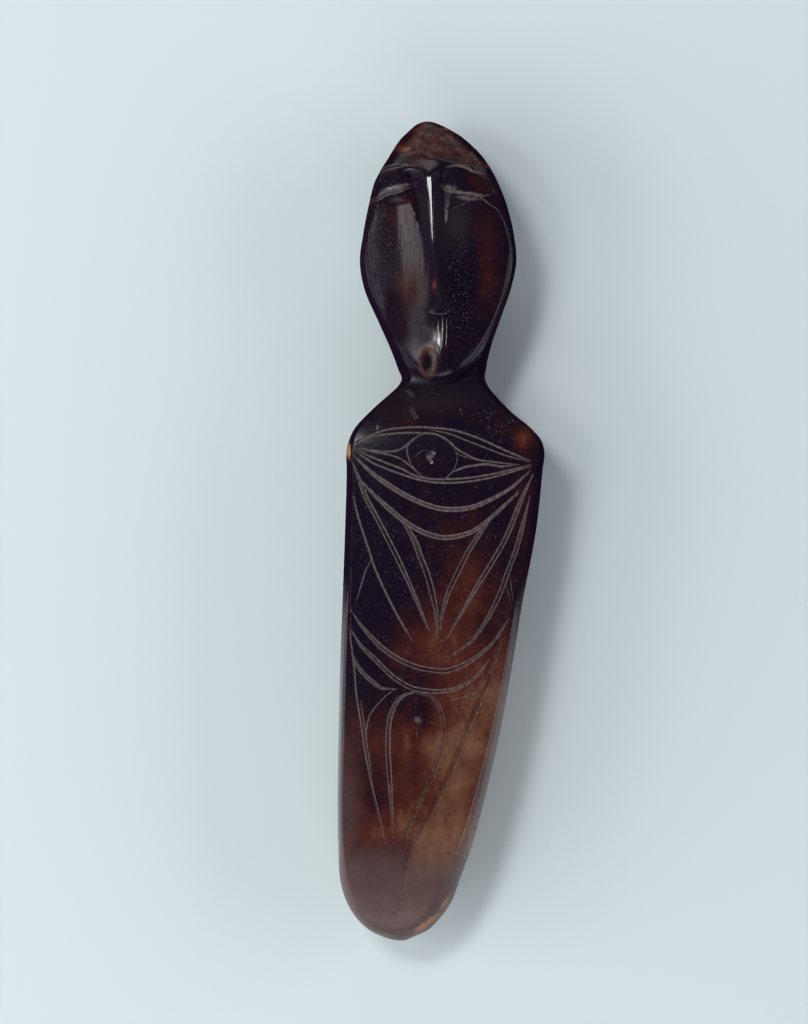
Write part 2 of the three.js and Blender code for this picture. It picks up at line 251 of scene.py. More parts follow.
# The cheeks: distances from the nose of a hollow's start, lowest line and end, and its depth
SCOOP_FROM, SCOOP_LOWEST, SCOOP_TO, SCOOP_DEPTH = 12, 40, 90, 0.95 * MM
SCOOP_FADE_FROM, SCOOP_FADE = 640, 250
# The ledge over them: its level, how it droops outward, and its width on the left and on the right
LEDGE_UP, LEDGE_DROOP, LEDGE_LEFT, LEDGE_RIGHT = 914, 0.12, 17, 12
ROOT_HOLLOW, ROOT_HALF, ROOT_SPAN = 0.95 * MM, 9, (850, 60, 940, 14)
BROW_UP, BROW_DROOP, BROW_HALF, BROW_RISE, BROW_SPAN = 922, 0.13, 11, 0.25 * MM, (8, 12, 85, 20)
MOUTH_ACROSS, MOUTH_UP, MOUTH_HALF, MOUTH_TALL = -15.9, 704.5, 9.2, 17
MOUTH_DEPTH, MOUTH_RIM = 0.5 * MM, 0.05 * MM
LIP_ACROSS, LIP_HALF, LIP_RISE, LIP_SPAN = 6, 16, 0.8 * MM, (682, 30, 764, 50)
face_front = smooth_line(FACE, 1)
nose_left, crest_left, crest_right, nose_right, nose_crest = (smooth_line(NOSE, c) for c in range(1, 6))


def inside_jaw(across, up):
    """Distance in from the jaw line, negative outside it: the formula of a rounded shield over the
    length of its gradient."""
    along = np.clip((JAW_TOP - up) / (JAW_TOP - JAW_CHIN), 0, None)
    aside = np.abs(across - JAW_MIDDLE) / JAW_HALF
    value = 1 - along**JAW_LENGTHWISE - aside**JAW_ACROSS
    gradient = np.hypot(
        JAW_LENGTHWISE * along ** (JAW_LENGTHWISE - 1) / (JAW_TOP - JAW_CHIN),
        JAW_ACROSS * aside ** (JAW_ACROSS - 1) / JAW_HALF,
    )
    return value / np.maximum(gradient, 1e-4)


def between(value, low, low_fade, high, high_fade):
    """1 between two ends and 0 outside them, with an S inside each end."""
    return ease((value - low) / low_fade) * ease((high - value) / high_fade)


def nose_middle(up):
    """The middle line of the crest of the nose."""
    return (crest_left(up) + crest_right(up)) / 2


def root_hollow(up):
    """Depth of the two hollows beside the upper half of the nose, an S at both ends."""
    return ROOT_HOLLOW * between(up, *ROOT_SPAN)


def nose(across, up):
    """The nose's height over the face, where it ends, and where its flanks are. Its height is the lowest
    of three planes that are rounded where they meet: the crest, which leans to the left, and two flanks,
    which fall from the crest's edges to the hollows beside them."""
    left, right = crest_left(up), crest_right(up)
    high = nose_crest(up) - face_front(up)
    crest = high - CREST_LEAN * (right - across)
    deep = root_hollow(up)
    edge = high - CREST_LEAN * (right - left)
    left_flank = (edge + deep) * (across - nose_left(up)) / (left - nose_left(up)) - deep
    right_flank = (high + deep) * (nose_right(up) - across) / (nose_right(up) - right) - deep
    ridge = soft_min(soft_min(crest, left_flank, NOSE_EDGE), right_flank, NOSE_EDGE)
    ends = between(up, *NOSE_SPAN)
    sides = np.maximum(ease((left - across) / SHADE_FADE), ease((across - right) / SHADE_FADE))
    flanks = np.maximum(sides, ease((CREST_SHADED - up) / 14)) * ease((ridge + deep) / 3 + 1.7)
    return np.maximum(ridge, LOWEST_FLANK), ends, flanks * ends


def cheeks(across, up):
    """The hollows of the cheeks: a plane falls away from the nose and another rises to the outer edge.
    They begin at a ledge under the brow, fade out above the mouth, and run up beside the nose's root."""
    off = across - nose_middle(up)
    aside = np.abs(off)
    inner = (aside - SCOOP_FROM) / (SCOOP_LOWEST - SCOOP_FROM)
    outer = (SCOOP_TO - aside) / (SCOOP_TO - SCOOP_LOWEST)
    trough = soft_max(soft_min(inner, outer, 0.25), 0, 0.15) - 0.03
    ledge = LEDGE_UP - LEDGE_DROOP * aside
    under_brow = ease((ledge - up) / np.where(off < 0, LEDGE_LEFT, LEDGE_RIGHT))
    above_mouth = ease((up - SCOOP_FADE_FROM) / SCOOP_FADE)
    foot = np.where(off < 0, nose_left(up), nose_right(up))
    beside_root = root_hollow(up) * np.exp(-(((across - foot) / ROOT_HALF) ** 2))
    return np.maximum(SCOOP_DEPTH * np.maximum(trough, 0) * under_brow * above_mouth, beside_root)


def brows(across, up):
    """Two low swellings over the cheeks, each a bell in height along a line that droops outward."""
    aside = np.abs(across - nose_middle(up))
    line = BROW_UP - BROW_DROOP * aside
    return BROW_RISE * np.exp(-(((up - line) / BROW_HALF) ** 2)) * between(aside, *BROW_SPAN)


def lip_ridge(across, up):
    """The short swelling between the nose and the mouth, a bell across that fades at both ends."""
    return LIP_RISE * np.exp(-(((across - LIP_ACROSS) / LIP_HALF) ** 2)) * between(up, *LIP_SPAN)


def mouth(across, up):
    """A small oval pit with a raised rim: its relief, where the pit is and where the rim is. The pit is
    an S of the distance from the middle, which is 1 on the oval, and the rim is a bell around it."""
    away = np.hypot((across - MOUTH_ACROSS) / MOUTH_HALF, (up - MOUTH_UP) / MOUTH_TALL)
    pit = ease((1.05 - away) / 0.75)
    rim = np.exp(-(((away - 0.98) / 0.24) ** 2))
    return MOUTH_RIM * rim - MOUTH_DEPTH * pit, pit, rim


def front_form(across, up):
    """The whole front without its fine marks: the higher of the body and of the face."""
    u, inside = in_section(across, up)
    body = body_height(across, up)
    bevel_width = CHIN_BEVEL + (JAW_BEVEL - CHIN_BEVEL) * ease((up - JAW_CHIN) / CHIN_BLEND)
    jaw = inside_jaw(across, up) / bevel_width
    bevel = np.where(jaw < 0, jaw * 2, side_rise(np.maximum(jaw, 0)))
    plane = 1 - FACE_CROWN * u * u
    rim = soft_min(soft_min(plane, bevel, RIM_ROUNDING), side_rise(inside), SIDE_ROUNDING)
    ridge, ends, _ = nose(across, up)
    hollow = -cheeks(across, up)
    relief = hollow + ends * (soft_max(ridge, hollow, NOSE_FOOT) - hollow) + brows(across, up)
    relief = relief + mouth(across, up)[0] + lip_ridge(across, up)
    within = np.clip(np.minimum(jaw, inside), 0, 1)
    face = face_front(up) * rim + relief * within
    face = np.where(up < JAW_CHIN - UNDER_CHIN, FAR_BELOW, face)
    return np.where(inside > 0, soft_max(body, face, FACE_BLEND * np.clip(inside, 0, 1)), 0)


# The graver's lines: curved strokes cut into the polished surface, many of them as two tracks side by
# side, each track a shallow round groove with grime in it. Then come the creases of the neck, scratches
# and age cracks. Their ways are given in the photograph's pixels, and at_pixel puts them on the piece.
MM_PER_PIXEL = 0.21
PIXEL = MM_PER_PIXEL * MM  # thousandths of the length in a pixel of the photograph
MIDDLE_PIXEL = (441, 531)  # the figurine's middle line and half its length


def at_pixel(pixels):
    """Across and up of points of the photograph: a shift, the vertical turned over, and one scale."""
    x, y = np.asarray(pixels, float).T
    return (x - MIDDLE_PIXEL[0]) * PIXEL, 500 + (MIDDLE_PIXEL[1] - y) * PIXEL


ONE_TRACK = (0, 0, 0)
# Width of a track in mm, distance between the two tracks in mm at start, middle and end, depth in mm,
# tone at start, middle and end (1 is full of pale dirt, -1 is black), and the way in pixels
GRAVER_LINES = [
    # brows
    (0.32, (0.4, 0.75, 0), 0.24, (0.8, 0.75, 0.5), [
        (376, 177.5), (385, 172), (394, 169.5), (404, 168.4), (412, 168.8),
    ]),
    (0.34, (0.7, 0.55, 0.1), 0.22, (0.5, 0.75, 0.6), [
        (371, 204), (380, 201), (387, 197), (398, 194.8), (411, 190.6),
    ]),
    (0.6, (0, 0.15, 0), 0.26, (1, 0.9, 0.7), [
        (448, 170.5), (454.7, 168.7), (462, 169.6), (467.5, 171.5), (471, 174), (477, 175.6),
        (484, 176.6),
    ]),
    (0.34, ONE_TRACK, 0.18, (0.9, 0.8, 0.7), [
        (476, 168), (474.5, 171), (478.5, 174.5), (482, 172.5), (485, 173.5), (484, 177),
    ]),
    (0.26, ONE_TRACK, 0.14, (0.7, 0.5, 0.3), [(471, 174), (479, 178), (488, 182)]),
    (0.5, (0, 0.2, 0), 0.24, (0.9, 0.75, 0.6), [
        (442, 190), (447, 194.5), (460, 196.3), (473, 198), (480, 199.6), (489, 198),
    ]),
    (0.34, ONE_TRACK, 0.18, (0.7, 0.5, 0.3), [
        (474, 197), (479, 200.5), (489, 207.5), (496.5, 212.5), (502, 221),
    ]),
    (0.3, ONE_TRACK, 0.16, (0.4, 0.45, 0.2), [(453, 211.5), (462, 207.5), (471, 203)]),
    # eye
    (0.46, ONE_TRACK, 0.34, (0.9, 1, 1), [
        (356, 443), (370, 436.5), (385, 431), (400, 428.8), (420, 428), (440, 429.3), (455, 431.5),
        (475, 438), (490, 444.5), (505, 451.5), (529, 461.5),
    ]),
    (0.36, ONE_TRACK, 0.28, (0.8, 0.85, 0.7), [
        (430, 430.8), (442, 433), (452, 435.8), (465, 441), (485, 448.7), (505, 456.3),
        (529, 462.5),
    ]),
    (0.44, ONE_TRACK, 0.32, (0.9, 0.95, 0.6), [
        (366, 439), (380, 436), (395, 434.3), (410, 433.6), (425, 434), (435, 435), (443, 438.5),
        (449, 443), (458, 451), (465, 454.7), (473, 459), (480, 461), (490, 462.3), (518, 465.5),
    ]),
    (0.3, ONE_TRACK, 0.24, (0.7, 0.7, 0.5), [(452, 448), (457, 454), (464, 457.5), (474, 460.5)]),
    (0.42, ONE_TRACK, 0.32, (0.7, 0.9, 0.9), [
        (356, 447.5), (365, 449.5), (375, 451.5), (385, 452.3), (393, 452), (400, 450), (405, 447),
        (413, 440), (418, 437), (424, 434.8),
    ]),
    (0.34, ONE_TRACK, 0.26, (0.7, 0.65, 0.7), [
        (412, 441), (408, 446), (407, 452), (408.5, 459), (412, 466), (416, 471),
    ]),
    (0.26, ONE_TRACK, 0.2, (0.5, 0.4, 0.4), [
        (451, 446), (455.5, 454), (456.5, 461), (454, 468), (450, 474),
    ]),
    (0.38, ONE_TRACK, 0.28, (0.7, 0.85, 0.8), [
        (358, 449.5), (368, 451), (378, 453.5), (388, 455.2), (396, 457.5), (403, 461), (413, 469),
        (418, 473.5), (424, 477.5),
    ]),
    (0.42, (0, 0.1, 0), 0.3, (0.9, 0.9, 0.6), [
        (446, 478), (452, 472.5), (458, 470), (465, 467.5), (474, 466), (483, 464.8), (492, 465.7),
        (500, 467), (508, 466.5), (518, 465),
    ]),
    (0.44, ONE_TRACK, 0.34, (0.9, 1, 0.9), [
        (357, 450), (368, 456), (380, 461), (403, 470), (412, 475), (422, 478), (432, 479.5),
        (445, 479.7), (460, 479), (475, 477.3), (490, 474.8), (505, 471.5), (529, 465.5),
    ]),
    (0.44, ONE_TRACK, 0.34, (0.9, 1, 0.9), [
        (356, 451.5), (364, 457.5), (374, 464), (388, 469.8), (402, 475), (415, 479.2),
        (425, 481.5), (437, 483), (450, 483.2), (465, 482.3), (480, 480), (495, 476.8),
        (529, 466.8),
    ]),
    # collars
    (0.46, (0.1, 0.66, 0.1), 0.36, (0.8, 1, 0.8), [
        (355, 457), (362, 464), (370, 471.5), (380, 479.5), (395, 489.5), (410, 498), (425, 504.5),
        (440, 508.7), (455, 509.5), (470, 507.5), (480, 504), (495, 497), (510, 488), (527, 473),
    ]),
    (0.44, (0, 0.68, 0.2), 0.36, (0.7, 1, 0.7), [
        (361, 480), (370, 490.5), (380, 500.5), (400, 518), (410, 525), (420, 530.7), (430, 534.7),
        (442, 537.3), (455, 536.3), (470, 532), (480, 526), (490, 517.5), (508, 501), (516, 493),
    ]),
    # rays
    (0.36, (0, 0.78, 0.2), 0.32, (0.7, 0.85, 0.6), [
        (352, 461), (357, 473), (361, 484), (367, 499), (374, 512), (382, 527), (398, 558.5),
        (413, 591.5), (428, 628),
    ]),
    (0.48, ONE_TRACK, 0.3, (0.8, 0.7, 0.6), [
        (354, 497), (357, 511), (360, 522), (369, 549), (376, 570), (395, 610), (412, 639),
    ]),
    (0.34, ONE_TRACK, 0.24, (0.8, 0.6, 0.3), [(371, 560), (366, 570), (362, 583), (357, 599)]),
    (0.34, (0.3, 0.98, 0), 0.3, (0.8, 0.7, 0.3), [
        (402, 520), (409, 531), (415, 542), (420, 556), (426, 571), (431.5, 590), (435.3, 610),
        (437, 640),
    ]),
    (0.34, (0.4, 0.78, 0.1), 0.3, (0.8, 0.7, 0.3), [
        (489, 519), (481, 530), (468, 550), (458, 570), (448.5, 590), (442.5, 610), (438.5, 632),
    ]),
    (0.36, (0, 0.74, 0), 0.32, (0.8, 0.85, 0.4), [
        (530.5, 477), (519.5, 501), (508, 530), (498, 550), (473.5, 590), (463, 608), (446, 637),
    ]),
    (0.34, (0, 0.7, 0.1), 0.3, (0.6, 0.7, 0.4), [
        (528, 498), (521.5, 525), (514.5, 550), (507, 570), (500, 590), (490.5, 610), (478.5, 630),
        (469.5, 640.5), (449, 655),
    ]),
    (0.26, ONE_TRACK, 0.2, (0.4, 0.4, 0.2), [(508, 573), (510, 585), (512, 600)]),
    (0.26, ONE_TRACK, 0.2, (0.4, 0.4, 0.2), [(504.5, 583), (508, 595), (510, 604)]),
    # belt
    (0.34, (0, 0.8, 0.1), 0.32, (0.6, 0.85, 0.4), [
        (352, 610), (361, 623.5), (371, 635), (382, 646), (393, 654), (405, 660.5), (418, 665.5),
        (431, 668), (445, 669), (459, 664.7), (471, 658.5), (483, 649.5), (493, 639.5), (507, 619),
    ]),
    (0.36, (0, 0.72, 0.1), 0.32, (0.5, 0.85, 0.4), [
        (351, 627), (356, 636), (362, 645), (372, 654.5), (392, 674), (402, 681), (412, 686),
        (425, 688.7), (438, 689.5), (452, 687.5), (465, 682), (475, 675), (488, 658),
    ]),
    # thighs
    (0.38, ONE_TRACK, 0.3, (0.6, 0.7, -0.5), [
        (350, 628), (352, 645), (355, 670), (356.5, 690), (361, 720), (365.5, 750), (369.5, 770),
        (374, 790), (382, 824), (386, 850),
    ]),
    (0.3, ONE_TRACK, 0.24, (0.6, 0.5, -0.3), [
        (361, 700), (364.5, 720), (367, 740), (370.5, 762), (374, 782),
    ]),
    (0.38, (0, 0.55, 0), 0.3, (0.6, 0.7, 0.6), [
        (353, 652), (358, 664), (365, 673), (373, 680), (382, 686), (397, 687),
    ]),
    (0.32, ONE_TRACK, 0.26, (0.7, 0.6, 0.2), [
        (395, 687), (388, 692), (380, 700), (373, 708), (369, 716), (367, 727), (367, 742),
    ]),
    (0.32, (0, 0.85, 0.4), 0.3, (0.2, -0.5, -0.8), [
        (500, 640), (497, 650), (491, 668), (485, 685), (469, 720), (455, 757), (437, 795),
        (418, 832), (408, 850), (403, 872),
    ]),
    (0.32, (0, 0.3, 0), 0.26, (-0.5, 0.3, 0.7), [
        (491, 668), (484, 680), (477, 688), (468, 693.5), (450, 697.8),
    ]),
    (0.26, ONE_TRACK, 0.2, (0.1, 0.2, -0.5), [(455, 705), (459, 713), (462, 722), (463, 740)]),
    # loop
    (0.32, (0.2, 0.78, 0), 0.3, (0.8, 0.8, -0.1), [
        (414, 690), (403.5, 693.5), (396.5, 700.5), (391.5, 710.5), (389, 722), (388, 743),
        (389.5, 770), (392, 808), (393, 830),
    ]),
    (0.32, (0.2, 0.62, 0), 0.3, (0.5, -0.3, -0.7), [
        (412, 690), (425, 692.3), (433.5, 697), (438.5, 704.5), (441.5, 715), (443, 727),
        (442, 740), (436, 763), (424, 790), (407, 828), (401, 848),
    ]),
    # scratches and the tail under the navel
    (0.16, ONE_TRACK, 0.08, (0.5, 0.6, 0.3), [(411, 408), (414, 413), (418, 420)]),
    (0.14, ONE_TRACK, 0.07, (0.3, 0.45, 0.2), [(409, 410), (412, 415), (415, 420)]),
    (0.18, ONE_TRACK, 0.1, (0.5, 0.4, 0.3), [(417, 455), (422, 451.5), (433, 450.5)]),
    (0.24, ONE_TRACK, 0.12, (0.5, 0.1, -0.4), [(418, 721), (416.5, 730), (415, 748)]),
    (0.22, ONE_TRACK, 0.12, (0.5, 0.4, 0.3), [(505, 669), (509, 677), (511, 681)]),
    (0.15, ONE_TRACK, 0.08, (0.3, 0.3, 0.2), [(459, 409), (462, 416)]),
    (0.18, ONE_TRACK, 0.1, (0.7, 0.9, 0.6), [(449, 150.5), (456.5, 151.5), (462, 155)]),
    (0.13, ONE_TRACK, 0.08, (0.3, 0.6, 0.3), [(449, 142), (449.5, 146), (449, 150.5)]),
    # edge of the mask down its right side
    (0.34, ONE_TRACK, 0.2, (0.1, 0.1, 0.1), [
        (497, 212), (504, 226), (508.6, 242), (510.7, 258), (510.2, 275), (507, 292), (503, 305),
        (494, 326), (484, 349), (475, 369),
    ]),
    # tool marks over the mouth
    (0.4, ONE_TRACK, 0.12, (0.3, 0.6, 0.2), [(437.5, 324), (437, 336), (435, 350)]),
    (0.4, ONE_TRACK, 0.12, (0.4, 0.7, 0.2), [(442, 320), (441.5, 335), (440, 352)]),
    (0.34, ONE_TRACK, 0.12, (0.3, 0.5, 0.2), [(446, 322), (446, 334), (445, 347)]),
    # creases of the neck under the chin
    (0.8, ONE_TRACK, 0.07, (0, 0, 0), [
        (406, 386), (416, 388.5), (428, 390.3), (441, 390.8), (455, 389), (466, 385),
    ]),
    (0.65, ONE_TRACK, 0.06, (0, 0, 0), [
        (418, 392), (428, 395), (440, 396.3), (452, 394), (462, 389.5),
    ]),
    (0.55, ONE_TRACK, 0.06, (0, 0, 0), [(447, 404.5), (453, 401), (461, 396.5)]),
    # the dark notch at the root of the nose, and age cracks
    (0.9, ONE_TRACK, 0.16, (-0.8, -0.9, -0.5), [(448, 173), (451, 178), (452.5, 184), (452, 191)]),
    (0.14, ONE_TRACK, 0.1, (-0.5, -0.6, -0.4), [(398, 228), (397, 250), (396.5, 280), (397, 318)]),
    (0.15, ONE_TRACK, 0.1, (-0.5, -0.8, -0.6), [
        (443, 484), (442.5, 510), (442, 545), (440.5, 580), (438.5, 610), (437, 645), (436, 690),
    ]),
    (0.14, ONE_TRACK, 0.1, (-0.8, -0.7, -0.3), [(403, 868), (402, 878), (404, 893)]),
    (0.15, ONE_TRACK, 0.1, (-0.7, -0.6, -0.6), [(418, 688), (417, 700), (418, 712)]),
    (0.14, ONE_TRACK, 0.08, (-0.3, -0.5, -0.3), [(352, 560), (351, 600), (351.5, 640)]),
]
TRACK_STEP = 0.36 * MM  # between the points that the skin gets along a track
WAY_STEP = 0.2 * MM  # between the places that its depth is measured from
LINE_REACH = 1.6 * MM
END_TAPER = 4  # mm over which a track runs out
PAST_END = 0.3 * MM
GROOVE_DEPTH = 0.45  # share of the depths above that is left after wear


def smooth_way(points, step):
    """A smooth curve through points: a cubic in each span between them, with its tangent along the two
    neighbours, then spaced evenly by running length."""
    p = np.column_stack(at_pixel(points))
    gap = np.linalg.norm(np.diff(p, axis=0), axis=1)
    knot = np.r_[0, np.cumsum(gap)]
    tangent = np.empty_like(p)
    tangent[1:-1] = (p[2:] - p[:-2]) / (knot[2:] - knot[:-2])[:, None]
    tangent[0], tangent[-1] = (p[1] - p[0]) / gap[0], (p[-1] - p[-2]) / gap[-1]
    fine = np.linspace(0, knot[-1], 60 * len(p))
    i = np.clip(np.searchsorted(knot, fine, side="right") - 1, 0, len(gap) - 1)
    t = ((fine - knot[i]) / gap[i])[:, None]
    span = gap[i][:, None]
    curve = (
        p[i] * (1 + 2 * t) * (1 - t) ** 2
        + tangent[i] * span * t * (1 - t) ** 2
        + p[i + 1] * t * t * (3 - 2 * t)
        + tangent[i + 1] * span * t * t * (t - 1)
    )
    run = np.r_[0, np.cumsum(np.linalg.norm(np.diff(curve, axis=0), axis=1))]
    even = np.linspace(0, run[-1], max(int(run[-1] / step), 4) + 1)
    way = np.column_stack([np.interp(even, run, curve[:, k]) for k in (0, 1)])
    return way, side_of(way), even


def side_of(way):
    """The direction to the side of every point of a way: its own direction turned a quarter round."""
    along = np.gradient(way, axis=0)
    along /= np.linalg.norm(along, axis=1)[:, None]
    return np.column_stack([-along[:, 1], along[:, 0]])


def gap_along(gaps, share_along):
    """Half the distance between two tracks, which swells or narrows evenly along them."""
    return np.interp(share_along, [0, 0.2, 0.6, 1], [gaps[0], gaps[1], gaps[1], gaps[2]]) * MM / 2


def nearest(way, points):
    """For every point its offset from the nearest point of a way, and which one that is."""
    best = [
        ((part[:, None, :] - way[None, :, :]) ** 2).sum(2).argmin(1)
        for part in np.array_split(points, len(points) * len(way) // 3_000_000 + 1)
    ]
    best = np.concatenate(best)
    return points - way[best], best


def engrave(across, up):
    """What all the lines do to the surface at some points: the depth cut away, the pale dirt left, and
    the dark: black grime along some tracks and a darker band in and beside each deep groove. A track's
    depth is a parabola of the distance from its middle."""
    cut, dirt, dark = (np.zeros_like(across) for _ in range(3))
    for number, (width, gaps, depth, tones, points) in enumerate(GRAVER_LINES):
        way, normal, run = smooth_way(points, WAY_STEP)
        low, high = way.min(0) - LINE_REACH, way.max(0) + LINE_REACH
        near = np.flatnonzero((across > low[0]) & (across < high[0]) & (up > low[1]) & (up < high[1]))
        if not len(near):
            continue
        offset, best = nearest(way, np.column_stack([across[near], up[near]]))
        side = (offset * normal[best]).sum(1)
        beyond = np.sqrt(np.maximum((offset**2).sum(1) - side**2, 0))
        ends = np.minimum(run[best], run[-1] - run[best]) / MM
        fade = (0.25 + 0.75 * ease(ends / END_TAPER)) * ease(1 - beyond / PAST_END)
        travel = run[best] / MM
        waver = 1 + 0.12 * np.sin(travel * 1.3 + number) + 0.08 * np.sin(travel * 2.9 + 2 * number)
        half = width * MM / 2 * (0.5 + 0.5 * fade)
        share = run[best] / run[-1]
        gap = gap_along(gaps, share)
        track = np.clip(1 - ((np.abs(side) - gap) / half) ** 2, 0, 1)
        shade = np.clip(1.6 * track, 0, 1) * fade**0.5
        tone = np.interp(share, [0, 0.3, 0.7, 1], [tones[0], tones[1], tones[1], tones[2]])
        shallow = GROOVE_DEPTH * (1 - 0.6 * ease(0.3 - tone))
        cut[near] = np.maximum(cut[near], shallow * depth * MM * fade * waver * track)
        # a darker band in and beside each groove deeper than 0.13 mm, fading out from its middle
        darker_by_groove = np.clip(1.3 - np.abs(side) / (gap + half), 0, 1) * fade * 0.35 * (depth > 0.13)
        spilt = (np.abs(side) < gap) * np.interp(share, [0, 0.2, 0.45], [0.6, 0.35, 0])
        shade = np.maximum(shade, spilt * fade)
        dirt[near] = np.maximum(dirt[near], np.maximum(tone, 0) * shade)
        dark[near] = np.maximum(dark[near], np.maximum(np.maximum(-tone, 0) * shade, darker_by_groove))
    return cut, dirt, dark


# Age: the forehead has flaked and left a rough brown hollow behind a step, and the pupil and the navel
# are pecked dots. The left shoulder and the right rim of the round end are chipped down to pale ivory,
# and pale dirt has settled under the brows, at the temple and on the neck.

# The flake's borders in pixels: below, on the left and on the right
FLAKE_BELOW = [
    (396, 163), (401, 158), (407.5, 154.6), (416.5, 153.3), (424, 153.7), (429, 158.7),
    (437.5, 161.7), (446, 163.5), (455, 166), (465, 168), (475, 169), (487, 170),
]
FLAKE_LEFT = [(424, 121), (420, 126), (413, 135), (407.5, 143), (403, 151.5), (399, 160), (393, 170)]
FLAKE_RIGHT = [
    (436, 121), (447.5, 129), (453, 134), (458, 140.5), (463, 147), (471, 154), (478, 161),
    (486, 168), (492, 178),
]
FLAKE_DEPTH = 0.40 * MM
RIPPLE_MIDDLE = (442, 149.5)  # where the flake was struck off
# middle, reach in pixels, depth in mm, how much pale dirt
PECKS = [((431, 458), 4.6, 0.12, 1.0), ((418, 717), 3.6, 0.12, 0.8), ((431.5, 452), 1.6, 0.06, 0.5)]
# middle, reach along and across in pixels, turn in degrees, how much pale ivory shows
CHIPS = [
    ((349.5, 450), 8.5, 2.6, 88, 1.0),
    ((429, 920), 21, 4.4, 38, 0.8),
    ((445, 900), 13, 3.2, 60, 0.7),
    ((378.5, 427), 2.4, 1.6, 30, 0.6),
    ((407, 152), 7, 3, 20, 0.35),
]
# Patches of pale dirt: middle, reach along and across in pixels, turn in degrees, how much of it
DIRT_PATCHES = [
    ((404, 189), 10, 3.4, 12, 0.75),
    ((388, 194.5), 9, 2.4, 20, 0.6),
    ((449, 192.5), 7.5, 3.4, -8, 0.8),
    ((478, 198.5), 5, 2.4, -5, 0.75),
    ((389, 390), 9, 3.5, 62, 0.6),
    ((410, 394), 6, 1.6, -40, 0.5),
    ((455, 146), 15, 3.0, -50, 0.45),
    ((474, 160), 12, 2.2, -45, 0.5),
]


def hills(across, up, size, seed):
    """Smooth random hills: random heights on a square lattice, blended with an S between corners."""
    heights = np.random.default_rng(seed).random((64, 64)) * 2 - 1
    x, y = across / size, up / size
    i, j = np.floor(x).astype(int), np.floor(y).astype(int)
    s, t = ease(x - i), ease(y - j)
    i, j, right, above = i % 64, j % 64, (i + 1) % 64, (j + 1) % 64
    low = heights[i, j] * (1 - s) + heights[right, j] * s
    high = heights[i, above] * (1 - s) + heights[right, above] * s
    return low * (1 - t) + high * t


def turned(across, up, middle, turn):
    """Distances from a middle given in pixels, along and across a direction turned by some degrees."""
    x, y = at_pixel([middle])
    c, s = math.cos(math.radians(turn)), math.sin(math.radians(turn))
    return (across - x) * c + (up - y) * s, (up - y) * c - (across - x) * s


def flaked(across, up):
    """1 where the forehead has flaked off: inside three broken lines, roughened by noise."""
    ragged = 2.0 * hills(across, up, 6, 3) + 1.2 * hills(across, up, 2.5, 4)
    x, y = at_pixel(FLAKE_BELOW)
    above = up - np.interp(across, x, y)
    x, y = at_pixel(FLAKE_LEFT[::-1])
    right_of = across - np.interp(up, y, x)
    x, y = at_pixel(FLAKE_RIGHT[::-1])
    left_of = np.interp(up, y, x) - across
    return ease((np.minimum(np.minimum(above, left_of), right_of) + ragged * 0.7) / 2.4 + 0.5)


def age_marks(across, up):
    """Depth cut by flakes, pecks and chips, and how much pale ivory, pale dirt and rough surface shows."""
    flake = flaked(across, up)
    rough = 0.6 * hills(across, up, 11, 5) + 0.4 * hills(across, up, 5, 6) + 0.2 * hills(across, up, 2.2, 7)
    x, y = at_pixel([RIPPLE_MIDDLE])
    ring = np.hypot(across - x, up - y)
    ripple = 0.06 * np.sin(ring * 1.5) * ease(1.4 - ring / 12)
    cut = flake * (FLAKE_DEPTH + (0.40 * rough + ripple) * MM)
    pale, pecked = np.zeros_like(across), np.zeros_like(across)
    for number, (middle, reach, depth, tone) in enumerate(PECKS):
        x, y = at_pixel([middle])
        away = np.hypot(across - x, up - y) / (reach * PIXEL)
        star = ease((1 - away + 0.6 * hills(across, up, 1.8, 11 + number)) / 0.8)
        cut = np.maximum(cut, depth * MM * star)
        pecked = np.maximum(pecked, tone * star)
    for number, (middle, reach, width, turn, tone) in enumerate(CHIPS):
        a, b = turned(across, up, middle, turn)
        away = np.hypot(a / (reach * PIXEL), b / (width * PIXEL))
        chip = ease((1 - away + 0.3 * hills(across, up, 4.5, 21 + number)) / 0.7)
        cut = cut + 0.1 * MM * chip * (tone > 0.6)
        pale = np.maximum(pale, tone * chip)
    crumbly = 0.55 * hills(across, up, 2.2, 31) + 0.45 * hills(across, up, 1.1, 32)
    for middle, reach, width, turn, tone in DIRT_PATCHES:
        a, b = turned(across, up, middle, turn)
        patch = ease(1.1 - np.hypot(a / (reach * PIXEL), b / (width * PIXEL)) + 0.9 * crumbly)
        pecked = np.maximum(pecked, tone * patch)
    return cut, pale, pecked, flake


# The skin: front and back are each a height over two parameters, the turn along the figure and the
# place across the section. Both are sampled on an even lattice. The front adds the same cross profile
# along every track, along the jaw and along the nose, so that fine lines keep their edges. The points
# are then joined into triangles, and the two halves share the outline.
ROWS = 470
FRONT_STEP, BACK_STEP = 0.50 * MM, 0.85 * MM
TEMPLE_UP, JAW_STEP, JAW_CLEAR = 905, 0.4 * MM, 0.6 * MM
FLAKE_STEP, NOSE_STEP, TIP_STEP = 0.25 * MM, 0.42 * MM, 0.13 * MM
WAVE = 0.05 * MM  # height of the long soft waves that polishing left


def place(t, turn):
    """Across and up of the parameters: t runs from -1 to 1 between the outlines, and its sine spaces
    points closer where the sides turn down."""
    up = 500 * (1 - np.cos(turn))
    left, right = left_edge(up), right_edge(up)
    return (left + right) / 2 + (right - left) / 2 * np.sin(t * math.pi / 2), up


def half_girth(turn):
    """About half the length of the front's section: half its width and most of its height."""
    up = 500 * (1 - np.cos(turn))
    return (right_edge(up) - left_edge(up)) / 2 + 0.6 * body_front(up)


turns = np.linspace(0, math.pi, ROWS + 1)[1:-1]
rim_t = np.r_[0, np.ones(len(turns)), 0, -np.ones(len(turns))]
rim_turn = np.r_[0, turns, math.pi, turns[::-1]]


